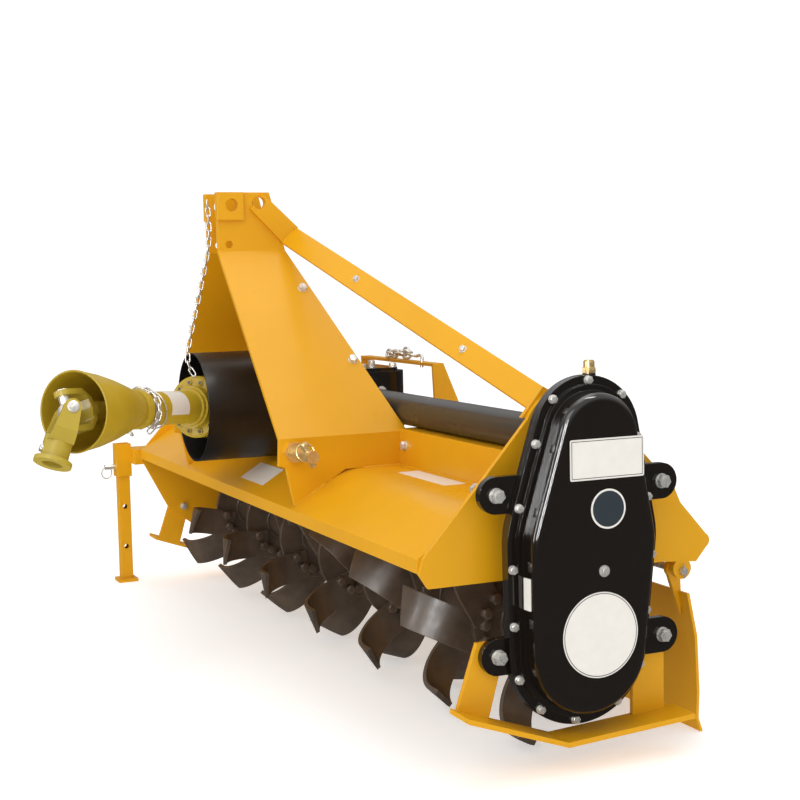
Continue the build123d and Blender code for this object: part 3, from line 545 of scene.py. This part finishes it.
def hang_chain(bm, route, shape, long, wire_size):
    """Links of a shape laid along a route, each a quarter turn from the last."""
    pitch = long - 2 * wire_size - 0.0004
    runs = [(a, b, (b - a).length) for a, b in zip(route, route[1:])]
    total = sum(run[2] for run in runs)
    for count in range(int(total / pitch)):
        left = (count + 0.5) * pitch
        for a, b, size in runs:
            if left <= size:
                break
            left -= size
        along = (b - a).normalized()
        side = along.orthogonal().normalized() if abs(along.x) > 0.9 else (X - along * along.x).normalized()
        slant = Matrix.Rotation(radians(28 + (90 if count % 2 else 0)), 3, along)
        across = slant @ side
        turn = Matrix((along, across, along.cross(across))).transposed().to_4x4()
        put(bm, shape, Matrix.Translation(a + along * left) @ turn)


def weld_bead(bm, start, end, radius):
    """A rippled bead of weld from start to end."""
    run = end - start
    steps = max(2, int(run.length / (radius * 1.1)))
    ring = bmesh.ops.create_circle(bm, cap_ends=True, segments=8, radius=radius, matrix=facing(start, run))
    edges = list({e for v in ring["verts"] for e in v.link_edges})
    for k in range(steps):
        verts, edges = grow(bm, edges)
        bmesh.ops.translate(bm, vec=run / steps, verts=verts)
        swell = (1.14 if k % 2 else 0.88) * (1 + 0.06 * sin(k * 2.7))
        to_ring = Matrix.Translation(-(start + run * ((k + 1) / steps)))
        bmesh.ops.scale(bm, vec=(swell,) * 3, space=to_ring, verts=verts)
    bmesh.ops.contextual_create(bm, geom=edges)


def case_rim(inset):
    """The gear case's outline drawn in by inset, as (y, z) points in mm."""
    points = []
    for k in range(360):
        way = (cos(radians(k)), sin(radians(k)))
        y, z, r = max(CASE_LOBES, key=lambda lobe: lobe[0] * way[0] + lobe[1] * way[1] + lobe[2])
        points.append(Vector((y + (r - inset) * way[0], z + (r - inset) * way[1])))
    return points


def on_rim(rim, y, z):
    """The point of an outline nearest to (y, z)."""
    at = Vector((y, z))
    near = []
    for a, b in zip(rim, rim[1:] + rim[:1]):
        share = intersect_point_line(at, a, b)[1]
        near.append(a + (b - a) * min(1, max(0, share)))
    return min(near, key=lambda point: (point - at).length)


def across_case(y, z):
    """The y on the other side of the case's leaning middle line."""
    return 2 * (CASE_FOOT_Y + (z - CASE_FOOT_Z) * CASE_LEAN) - y


# ---- operators --------------------------------------------------------------------
class TILLER_OT_paint(bpy.types.Operator):
    """Make the finishes and give each node of the frame its own"""

    bl_idname = "tiller.paint"
    bl_label = "Paint the frame"

    def execute(self, context):
        p = context.scene.tiller_paint
        # Each finish's figure for its edges sets how much lighter its painted edge highlight is.
        enamel("yellow_enamel", p.frame_yellow, 0.34, 0.06, 0.00006, edge_highlight=1.3, specular=0.22)
        enamel("black_enamel", p.case_black, 0.12, 0.4, 0.00005, edge_highlight=2.2, dusty=0.008)
        enamel("grey_enamel", p.tube_grey, 0.3, 0.1, 0.00005, specular=0.35)
        enamel("khaki_paint", p.yoke_khaki, 0.34, 0.1, 0.0002, mottle=0.16, specular=0.35)
        enamel("shield_black", p.case_black, 0.36, 0.0, 0.0001, edge_highlight=1.6, dusty=0.04)
        dipped("tine_paint", p.tine_brown, 0.4)
        moulded("olive_plastic", p.guard_olive, 0.34)
        bare_metal("zinc_plate", p.zinc, 0.3, 260, 0.62)
        bare_metal("brass_plate", p.brass, 0.3, 260, 0.72)
        paper("label_film", p.label_white)
        paper("label_print", (0.03, 0.028, 0.026))
        paper("label_slate", (0.030, 0.042, 0.052))
        finishes = {
            "gearcase_housing": "black_enamel", "gearcase_cover": "black_enamel", "gearbox": "black_enamel",
            "pto_shield": "shield_black", "rotor_bearing": "black_enamel", "rotor_shaft": "tine_paint",
            "cross_tube": "grey_enamel", "tines_left_hand": "tine_paint", "tines_right_hand": "tine_paint",
            "guard_cone": "olive_plastic", "guard_bell": "olive_plastic", "inner_yoke": "khaki_paint",
            "outer_yoke": "khaki_paint", "drive_shaft": "khaki_paint", "cover_plug": "zinc_plate",
            "hinge_rod": "zinc_plate", "lower_pin_left": "brass_plate", "lower_pin_right": "brass_plate",
            "support_chain": "zinc_plate", "tailboard_chain": "zinc_plate", "joint_cross": "zinc_plate",
            "stand_pin": "zinc_plate", "vent_plug": "brass_plate", "input_shaft": "zinc_plate",
        }
        for name, node in frame["nodes"].items():
            material = MATERIALS[finishes.get(name, "yellow_enamel")]
            for place in node.material_slots:
                place.material = material
        return {"FINISHED"}


class TILLER_OT_case_bolts(bpy.types.Operator):
    """Bolt the gear case's cover round its flange and its ears to the side plate"""

    bl_idname = "tiller.case_bolts"
    bl_label = "Gear case bolts"

    def execute(self, context):
        sizes = context.scene.tiller_fasteners
        small = bolt_shape(sizes.case_bolt, sizes.case_bolt * 0.6)
        rim = case_rim(RIM_BOLT_INSET)
        rear = [(across_case(y, z), z) for y, z in RIM_FRONT_BOLTS[1:]]
        bm = bmesh.new()
        for y, z in (*RIM_END_BOLTS, *RIM_FRONT_BOLTS, *rear):
            at = on_rim(rim, y, z)
            put(bm, small, facing(mm(FLANGE_FACE, at.x, at.y), X, y * 0.7))
        finish_piece("case_bolts", bm, "zinc_plate", MACHINE)

        large = bolt_shape(sizes.ear_bolt, sizes.ear_bolt * 0.62)
        nut = bolt_shape(sizes.ear_bolt, 0)
        bm = bmesh.new()
        for y in EAR_YS:
            for z in (UPPER_EAR_Z, LOWER_EAR_Z):
                put(bm, large, facing(mm(EAR_FACE, y, z), X, y * 0.3))
        put(bm, nut, facing(mm(INNER_FACE, EAR_YS[0], UPPER_EAR_Z), -X))
        finish_piece("ear_bolts", bm, "zinc_plate", MACHINE)

        bm = bmesh.new()
        bolt = discs((0.0085, 0, 0.006, 6, 0.0008), (0.011, -0.0004, 0.0014, 20))
        middle_y, middle_z = BEARING_CENTRE
        for k in range(4):
            turn = pi / 4 + k * pi / 2
            y, z = middle_y + BEARING_BOLT_CIRCLE * cos(turn), middle_z + BEARING_BOLT_CIRCLE * sin(turn)
            put(bm, bolt, facing(mm(BEARING_FACE, y, z), -X))
        put(bm, discs((0.026, -0.0005, 0.004, 40, 0.0015)), facing(mm(BEARING_FACE, *BEARING_CENTRE), -X))
        far = bolt_shape(sizes.frame_bolt, sizes.frame_bolt * 0.62)
        for y in EAR_YS:
            put(bm, far, facing(mm(SKID_FACE, y, LOWER_EAR_Z), -X))
            put(bm, far, facing(mm(FAR_INNER, y, LOWER_EAR_Z), X))
        finish_piece("far_side_bolts", bm, "zinc_plate", MACHINE)
        return {"FINISHED"}


class TILLER_OT_case_trim(bpy.types.Operator):
    """Vent cap, level plug and blank labels on the gear case"""

    bl_idname = "tiller.case_trim"
    bl_label = "Gear case trim"

    def execute(self, context):
        bm = bmesh.new()
        cap = discs((0.0115, 0.001, 0.009, 6, 0.001), (0.0085, 0.008, 0.0195, 20, 0.002))
        put(bm, cap, facing(mm(*VENT), Z))
        finish_piece("vent_cap", bm, "brass_plate", MACHINE)

        wide = upright(mm(DOME_FACE, *WIDE_LABEL), X, Z)
        small = upright(mm(DOME_FACE, *SMALL_LABEL), X, Z)
        large = upright(mm(DOME_FACE, *ROUND_LABEL), X, Z)
        bm = bmesh.new()
        put(bm, card(0.128, 0.061, LABEL_SHEET, 0.003), wide)
        put(bm, discs((0.065, 0, LABEL_SHEET, 72)), large)
        put(bm, discs((0.030, 0, LABEL_SHEET, 56)), small)
        finish_piece("case_labels", bm, "label_film", MACHINE)
        bm = bmesh.new()
        border(bm, 0.122, 0.055, 0.0009, LABEL_SHEET * 1.4, wide)
        put(bm, torus(0.0625, 0.0006, 72, 6), upright(mm(DOME_FACE + 0.4, *ROUND_LABEL), X, Z))
        finish_piece("case_label_lines", bm, "label_print", MACHINE)
        bm = bmesh.new()
        put(bm, discs((0.027, 0, LABEL_SHEET * 1.5, 56)), small)
        finish_piece("case_label_disc", bm, "label_slate", MACHINE)

        bm = bmesh.new()
        wall = on_rim(case_rim(CASE_WALL_INSET), *TAG_PLACE)
        slope = (X * 0.087 - Y).normalized()
        put(bm, card(0.018, 0.048, 0.0012, 0.001), upright(mm(TAG_X, wall.x - 0.7, wall.y), slope, Z))
        finish_piece("case_tag", bm, "label_film", MACHINE)

        bm = bmesh.new()
        plug = discs((0.0068, 0, 0.006, 6, 0.0008), (0.009, 0, 0.0012, 24))
        put(bm, plug, facing(mm(DOME_FACE, *LEVEL_PLUG), X))
        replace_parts(finish_piece("level_plug", bm, "zinc_plate", MACHINE), "cover_plug")
        return {"FINISHED"}


class TILLER_OT_hitch_trim(bpy.types.Operator):
    """Bolts, lynch pins and labels on the hitch frame, braces and deck"""

    bl_idname = "tiller.hitch_trim"
    bl_label = "Hitch trim"

    def execute(self, context):
        sizes = context.scene.tiller_fasteners
        shape = bolt_shape(sizes.frame_bolt, sizes.frame_bolt * 0.62)
        small = bolt_shape(0.010, 0.007)
        bm = bmesh.new()
        for side, end_x in ((1, INNER_FACE), (-1, FAR_INNER)):
            panel_out = Vector((side * PANEL_OUT.x, 0, PANEL_OUT.z))
            for x, y, z in PANEL_BOLTS:
                put(bm, shape, facing(mm(HITCH_X + side * (x - HITCH_X), y, z), panel_out))
            foot_x, foot_y, foot_z = PANEL_FOOT_BOLT
            put(bm, shape, facing(mm(HITCH_X + side * foot_x, foot_y, foot_z), -Y))
            start = mm(HITCH_X + side * BRACE_TOP[0], *BRACE_TOP[1:])
            end = mm(end_x - side * BRACE_FOOT[0], *BRACE_FOOT[1:])
            out = (end - start).cross(Vector((0, 1, 1))).normalized()
            out = out if out.z > 0 else -out
            for share in BRACE_BOLT_SHARES:
                put(bm, small, facing(start.lerp(end, share) + out * 0.004, out))
        finish_piece("frame_bolts", bm, "zinc_plate", MACHINE)

        bm = bmesh.new()
        pin = discs((0.0055, -0.021, 0.02, 20, 0.002), (0.008, 0.018, 0.027, 20, 0.003))
        lean = (Z - Y * 0.45).normalized()
        for side in (1, -1):
            at = mm(HITCH_X + side * (PANEL_HALF + LYNCH_PIN_OUT), LOWER_PIN_Y, LOWER_PIN_Z)
            put(bm, pin, facing(at, lean))
            loop = (lean * 0.35 + X * side * 0.9 + Y * 0.1).normalized()
            put(bm, torus(0.0165, 0.0018, 32), facing(at + lean * 0.006 - X * side * 0.012, loop))
        finish_piece("lynch_pins", bm, "brass_plate", MACHINE)

        bm = bmesh.new()
        slope = Vector((0, -DECK_FALL, DECK_FALL_RUN)).normalized()
        fall_z = DECK_Z - DECK_FALL + (-22 - DECK_FRONT_Y) * DECK_FALL / DECK_FALL_RUN
        put(bm, card(0.135, 0.052, 0.0004, 0.002), upright(mm(-39, -22, fall_z), slope, Y))
        put(bm, card(0.19, 0.042, 0.0004, 0.002), upright(mm(444, 122, DECK_Z), Z, Y))
        finish_piece("deck_labels", bm, "label_film", MACHINE)
        return {"FINISHED"}


class TILLER_OT_rotor_trim(bpy.types.Operator):
    """Bolts through the tines and weld rings on the rotor's tube"""

    bl_idname = "tiller.rotor_trim"
    bl_label = "Rotor trim"

    def execute(self, context):
        sizes = context.scene.tiller_fasteners
        head = bolt_shape(sizes.tine_bolt, 0)
        bm, rings = bmesh.new(), bmesh.new()
        bead = torus(0.0415, 0.0032, 36, 6)
        for k, x in enumerate(FLANGE_XS):
            centre = Vector((x / 1000, ROTOR_PLACE.y, ROTOR_PLACE.z))
            for side, lead in ((1, 0), (-1, PAIR_SPREAD)):
                for pair in range(PAIRS):
                    turn = FIRST_TINE + lead + HELIX_STEP * k + 360 / PAIRS * pair
                    place = Matrix.Translation(centre) @ Matrix.Rotation(radians(turn), 4, "X")
                    for y, z in TINE_BOLTS:
                        put(bm, head, place @ facing(Vector((side * 0.013, y, z)), X * side, 0.3))
                        put(bm, head, place @ facing(Vector((-side * 0.005, y, z)), X * -side, 0.1))
                beside = Vector(((x + side * 5) / 1000, ROTOR_PLACE.y, ROTOR_PLACE.z))
                put(rings, bead, facing(beside, X))
        finish_piece("tine_bolts", bm, "tine_paint", "rotor")
        finish_piece("rotor_welds", rings, "tine_paint", "rotor", 80)
        return {"FINISHED"}


class TILLER_OT_driveline_trim(bpy.types.Operator):
    """Bearing caps, the yoke's release button, guard fixings and the guard's blank label"""

    bl_idname = "tiller.driveline_trim"
    bl_label = "Driveline trim"

    def execute(self, context):
        cap = discs((0.0105, -0.0005, 0.0022, 28, 0.0007), (0.0035, 0.002, 0.0032, 16, 0.0004))
        for name, axis, body in (
            ("yoke_caps", OUTER_PINS, "tractor_yoke"), ("shaft_caps", INNER_PINS, "driveline"),
        ):
            bm = bmesh.new()
            for side in (1, -1):
                put(bm, cap, facing(CROSS_PLACE + axis * side * 0.038, axis * side))
            finish_piece(name, bm, "zinc_plate", body)

        bm = bmesh.new()
        across = YOKE_LINE.cross(OUTER_PINS).normalized()
        hub = CROSS_PLACE + YOKE_LINE * 0.076
        put(bm, discs((0.0062, 0.02, 0.0285, 20, 0.0012)), facing(hub, -across))
        finish_piece("release_button", bm, "zinc_plate", "tractor_yoke")

        # Each boss gets a flat near-black disc on top: painted shade standing for the inside of its screw hole.
        bm, hole_shades = bmesh.new(), bmesh.new()
        boss = discs((0.0062, -0.001, 0.0026, 18, 0.0012))
        hole_shade = discs((0.0034, 0.002, 0.003, 14))
        for k in range(BELL_SCREWS):
            angle = 15 + 360 / BELL_SCREWS * k
            at = facing(on_drive(BELL_SCREW_RUN, BELL_SCREW_RADIUS, angle), DRIVE_LINE)
            put(bm, boss, at)
            put(hole_shades, hole_shade, at)
        put(bm, torus(0.0588, 0.0022, 56), facing(on_drive(BELL_RIM_RUN, 0, 0), DRIVE_LINE))
        put(bm, torus(0.0712, 0.0018, 64), facing(on_drive(CONE_RIM_RUN, 0, 0), DRIVE_LINE))
        put(bm, discs((0.0375, 0, 0.016, 44, 0.003)), facing(on_drive(COLLAR_RUN, 0, 0), DRIVE_LINE))
        finish_piece("guard_fixings", bm, "olive_plastic", MACHINE)
        finish_piece("guard_hole_shades", hole_shades, "label_print", MACHINE)

        bm = bmesh.new()
        bmesh.ops.create_grid(bm, x_segments=16, y_segments=1, size=0.5)
        thicken(bm, 1)
        for v in bm.verts:
            v.co = on_drive(146 + v.co.y * 58, 31.8 + v.co.z * 0.6, 62 + v.co.x * 100)
        finish_piece("guard_label", bm, "label_film", MACHINE)
        return {"FINISHED"}


class TILLER_OT_chains(bpy.types.Operator):
    """Round wire chains in place of the plain links, with a clip and a hook"""

    bl_idname = "tiller.chains"
    bl_label = "Chains"

    def execute(self, context):
        thick = context.scene.tiller_fasteners.chain_wire
        shape = link_shape(LINK_LONG, LINK_WIDE, thick)
        hung = ((HITCH_X, -101, 905), (HITCH_X, -100, 826), (-85, -122, 735), (-70, -157, 608))
        route = flowing([*(mm(*at) for at in hung), on_drive(55, 62, 0)])
        bm = bmesh.new()
        hang_chain(bm, route, shape, LINK_LONG, thick)
        links = finish_piece("support_chain_links", bm, "zinc_plate", MACHINE, 60)
        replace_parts(links, "support_chain")

        bm = bmesh.new()
        for lean, low in ((10, 0), (-7, 6)):
            loop = []
            for a in range(-165, 166, 15):
                swing = cos(radians(a))
                loop.append(on_drive(228 + lean * swing + low, 37 + low * (1 - swing), a))
            hang_chain(bm, loop, shape, LINK_LONG, thick)
        finish_piece("guard_chain_links", bm, "zinc_plate", MACHINE, 60)
        bm = bmesh.new()
        clip = [
            on_drive(200 + 10 * cos(radians(a)), 34.5 + 3 * sin(radians(a / 2)) ** 2, a)
            for a in range(-20, 341, 12)
        ]
        wire(bm, [on_drive(228, 38, -30), *clip, on_drive(222, 40, 6)], 0.0014)
        finish_piece("guard_clip", bm, "zinc_plate", MACHINE, 60)

        bm = bmesh.new()
        heavy = link_shape(HEAVY_LONG, HEAVY_WIDE, HEAVY_WIRE)
        top = 579
        for strand in (
            ((-70, 312, 5), (-10, 306, 6), (40, 314, 6), (84, 308, 5)),
            ((-40, 300, 4), (10, 318, 12), (60, 304, 13)),
        ):
            route = flowing([mm(HITCH_X + x, y, top + rise) for x, y, rise in strand])
            hang_chain(bm, route, heavy, HEAVY_LONG, HEAVY_WIRE)
        hook = ((80, 312, 5), (104, 308, 8), (118, 306, 4), (120, 304, -16))
        wire(bm, flowing([mm(HITCH_X + x, y, top + rise) for x, y, rise in hook]), 0.0035)
        links = finish_piece("tailboard_chain_links", bm, "zinc_plate", MACHINE, 60)
        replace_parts(links, "tailboard_chain")
        return {"FINISHED"}


class TILLER_OT_gearbox_trim(bpy.types.Operator):
    """Lid, bolts and cap on the gearbox, and small pins on the stand and hinge"""

    bl_idname = "tiller.gearbox_trim"
    bl_label = "Gearbox and stand trim"

    def execute(self, context):
        sizes = context.scene.tiller_fasteners
        bolt = bolt_shape(sizes.case_bolt * 1.2, sizes.case_bolt * 0.75)
        bm, bolts = bmesh.new(), bmesh.new()
        lid = card(0.136, 0.160, GEARBOX_LID_THICK / 1000, 0.02)
        put(bm, lid, upright(mm(HITCH_X, GEARBOX_LID_Y, GEARBOX_LID_Z), Z, Y))
        put(bm, discs((0.062, 0, 0.008, 48, 0.002)), facing(mm(HITCH_X, 20, DRIVE_Z), Y))
        finish_piece("gearbox_lid", bm, "black_enamel", MACHINE)
        for x in (-56, 56):
            for y in (-68, 0, 68):
                at = mm(HITCH_X + x, GEARBOX_LID_Y + y, GEARBOX_LID_Z + GEARBOX_LID_THICK)
                put(bolts, bolt, facing(at, Z, x * y))
        for k in range(6):
            turn = pi / 6 + k * pi / 3
            y, z = GEARBOX_CAP_Y + GEARBOX_CAP_CIRCLE * cos(turn), DRIVE_Z + GEARBOX_CAP_CIRCLE * sin(turn)
            for side in (1, -1):
                put(bolts, bolt, facing(mm(HITCH_X + side * GEARBOX_CAP_X, y, z), X * side, k))
        finish_piece("gearbox_bolts", bolts, "zinc_plate", MACHINE)

        bm = bmesh.new()
        put(bm, torus(0.014, 0.0014, 28), facing(mm(-877, -140, 275), (X + Y * 0.3).normalized()))
        split_pin = discs((0.0018, -0.011, 0.011, 12))
        for x in (-828, 803):
            put(bm, split_pin, facing(mm(x, HINGE_PIN_Y, HINGE_PIN_Z), Z))
        finish_piece("small_pins", bm, "zinc_plate", MACHINE)
        return {"FINISHED"}


class TILLER_OT_welds(bpy.types.Operator):
    """Weld beads where the plates meet"""

    bl_idname = "tiller.welds"
    bl_label = "Weld beads"

    def execute(self, context):
        size = context.scene.tiller_fasteners.weld_bead
        left, right = HITCH_X + PANEL_HALF, HITCH_X - PANEL_HALF
        bm = bmesh.new()
        for start, end in (
            ((left, 150, 400), (INNER_FACE, 150, 400)), ((FAR_INNER, 150, 400), (right, 150, 400)),
            ((left, 226, 400), (INNER_FACE, 226, 400)), ((FAR_INNER, 226, 400), (right, 226, 400)),
            ((left, 75, 400), (left, 156, 400)), ((right, 75, 400), (right, 156, 400)),
            ((left, -58, 340), (left, 0, 375.5)), ((right, -58, 340), (right, 0, 375.5)),
            ((INNER_FACE, 80, 400), (INNER_FACE, 148, 400)), ((INNER_FACE, 228, 400), (INNER_FACE, 340, 400)),
            ((FAR_INNER, 80, 400), (FAR_INNER, 148, 400)), ((FAR_INNER, 228, 400), (FAR_INNER, 340, 400)),
            ((-270, 306, 400), (86, 306, 400)),
            ((-822, -58, 298), (-822, -32, 298)), ((-822, -58, 334), (-822, -32, 334)),
        ):
            weld_bead(bm, mm(*start), mm(*end), size)
        finish_piece("plate_welds", bm, "yellow_enamel", MACHINE, 80)
        return {"FINISHED"}


# ---- stage ------------------------------------------------------------------------
def lay_floor(side):
    """A pale paper floor that mirrors leave out."""
    bm = bmesh.new()
    bmesh.ops.create_grid(bm, x_segments=1, y_segments=1, size=side / 2)
    mesh = bpy.data.meshes.new("floor")
    bm.to_mesh(mesh)
    bm.free()
    n = Nodes("floor_paper")
    n.link(n.ramp(n.noise(1.5, 3), [(0.3, 0.79), (0.7, 0.81)]), n.shader.inputs["Base Color"])
    n.set(Roughness=0.9, Emission_Color=(1, 0.99, 0.98, 1), Emission_Strength=0.46, Specular_IOR_Level=0.1)
    mesh.materials.append(n.material)
    floor = bpy.data.objects.new("floor", mesh)
    bpy.context.scene.collection.objects.link(floor)
    floor.visible_glossy = False


def light_studio(fill):
    """White to the camera, even to matt surfaces, and darker towards the floor to glossy ones."""
    world = bpy.data.worlds.new("studio")
    world.use_nodes = True
    tree = world.node_tree
    background = tree.nodes["Background"]
    background.inputs["Color"].default_value = (1, 1, 1, 1)
    path = tree.nodes.new("ShaderNodeLightPath")
    height = tree.nodes.new("ShaderNodeSeparateXYZ")
    tree.links.new(tree.nodes.new("ShaderNodeTexCoord").outputs["Generated"], height.inputs[0])
    sky = tree.nodes.new("ShaderNodeMapRange")
    for name, value in (("From Min", 0.1), ("From Max", 0.6), ("To Min", 0.1), ("To Max", 0.95)):
        sky.inputs[name].default_value = value
    tree.links.new(height.outputs["Z"], sky.inputs["Value"])
    # A mix of numbers: socket 0 is the share, and sockets 2 and 3 are the numbers.
    glossy = tree.nodes.new("ShaderNodeMix")
    glossy.inputs[2].default_value = fill
    tree.links.new(sky.outputs["Result"], glossy.inputs[3])
    shown = tree.nodes.new("ShaderNodeMix")
    shown.inputs[3].default_value = 1.05
    tree.links.new(path.outputs["Is Glossy Ray"], glossy.inputs[0])
    tree.links.new(glossy.outputs[0], shown.inputs[2])
    tree.links.new(path.outputs["Is Camera Ray"], shown.inputs[0])
    tree.links.new(shown.outputs[0], background.inputs["Strength"])
    bpy.context.scene.world = world


def soft_light(name, at, aim, wide, high, power, shade=(1, 1, 1), gloss_only=False):
    """A rectangular lamp that the camera doesn't see."""
    light = bpy.data.lights.new(name, "AREA")
    light.shape = "RECTANGLE"
    light.size, light.size_y, light.energy, light.color = wide, high, power, shade
    lamp = bpy.data.objects.new(name, light)
    lamp.location = at
    lamp.visible_camera, lamp.visible_diffuse = False, not gloss_only
    lamp.rotation_euler = (Vector(aim) - Vector(at)).to_track_quat("-Z", "Y").to_euler()
    bpy.context.scene.collection.objects.link(lamp)


def place_camera(s):
    """A camera at its place, turned, tipped down and rolled."""
    camera = bpy.data.objects.new("camera", bpy.data.cameras.new("camera"))
    yaw, pitch, roll = (radians(a) for a in (s.camera_yaw, s.camera_pitch, -s.camera_roll))
    ahead = Vector((-sin(yaw) * cos(pitch), cos(yaw) * cos(pitch), -sin(pitch)))
    right = Vector((cos(yaw), sin(yaw), 0))
    up = right.cross(ahead)
    turned_right = right * cos(roll) + up * sin(roll)
    turned_up = up * cos(roll) - right * sin(roll)
    turn = Matrix((turned_right, turned_up, -ahead)).transposed().to_4x4()
    camera.matrix_world = Matrix.Translation(s.camera_place) @ turn
    camera.data.lens = s.camera_lens
    camera.data.sensor_width = 36
    camera.data.clip_start = 0.05
    bpy.context.scene.collection.objects.link(camera)
    bpy.context.scene.camera = camera


class TILLER_OT_stage(bpy.types.Operator):
    """Floor, soft studio light and camera"""

    bl_idname = "tiller.stage"
    bl_label = "Stage"

    def execute(self, context):
        s = context.scene.tiller_stage
        lay_floor(s.floor_size)
        light_studio(s.fill)
        soft_light("key_light", (2.2, -2.4, 2.9), (0.1, 0.1, 0.4), 2.6, 2.0, s.key_power, (1, 0.975, 0.93))
        soft_light("top_light", (0.3, 0.3, 3.3), (0.1, 0.1, 0), 2.4, 1.6, s.key_power * 0.6)
        strips = (
            ((2.1, -2.0, 1.05), 0.14, 1.1), ((2.75, -1.45, 1.15), 0.07, 0.8),
            ((0.3, -2.6, 1.0), 0.2, 0.5), ((1.6, 0.8, 3.0), 0.25, 0.5),
        )
        for k, (at, wide, share) in enumerate(strips):
            power = s.key_power * share
            soft_light(f"strip_light_{k}", at, (0.85, 0.1, 0.45), wide, 1.3, power, gloss_only=True)
        place_camera(s)
        context.scene.view_settings.view_transform = "Standard"
        return {"FINISHED"}


class TILLER_PT_panel(bpy.types.Panel):
    """Sizes, colours and steps of the dressing"""

    bl_label = "Rotary tiller"
    bl_idname = "TILLER_PT_panel"
    bl_space_type = "VIEW_3D"
    bl_region_type = "UI"
    bl_category = "Tiller"

    def draw(self, context):
        for group in (context.scene.tiller_paint, context.scene.tiller_fasteners, context.scene.tiller_stage):
            box = self.layout.box()
            for name in group.__annotations__:
                box.prop(group, name)
        for step in STEPS:
            self.layout.operator(step.bl_idname)


GROUPS = {"tiller_paint": TillerPaint, "tiller_fasteners": TillerFasteners, "tiller_stage": TillerStage}
STEPS = (
    TILLER_OT_paint, TILLER_OT_case_bolts, TILLER_OT_case_trim, TILLER_OT_hitch_trim, TILLER_OT_rotor_trim,
    TILLER_OT_driveline_trim, TILLER_OT_chains, TILLER_OT_gearbox_trim, TILLER_OT_welds, TILLER_OT_stage,
)


def register():
    for cls in (*GROUPS.values(), *STEPS, TILLER_PT_panel):
        bpy.utils.register_class(cls)
    for name, cls in GROUPS.items():
        setattr(bpy.types.Scene, name, PointerProperty(type=cls))


def unregister():
    for name in GROUPS:
        delattr(bpy.types.Scene, name)
    for cls in (TILLER_PT_panel, *reversed(STEPS), *GROUPS.values()):
        bpy.utils.unregister_class(cls)


def main():
    """Register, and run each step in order."""
    register()
    for step in STEPS:
        group, name = step.bl_idname.split(".")
        getattr(getattr(bpy.ops, group), name)()


if __name__ == "__main__":
    main()
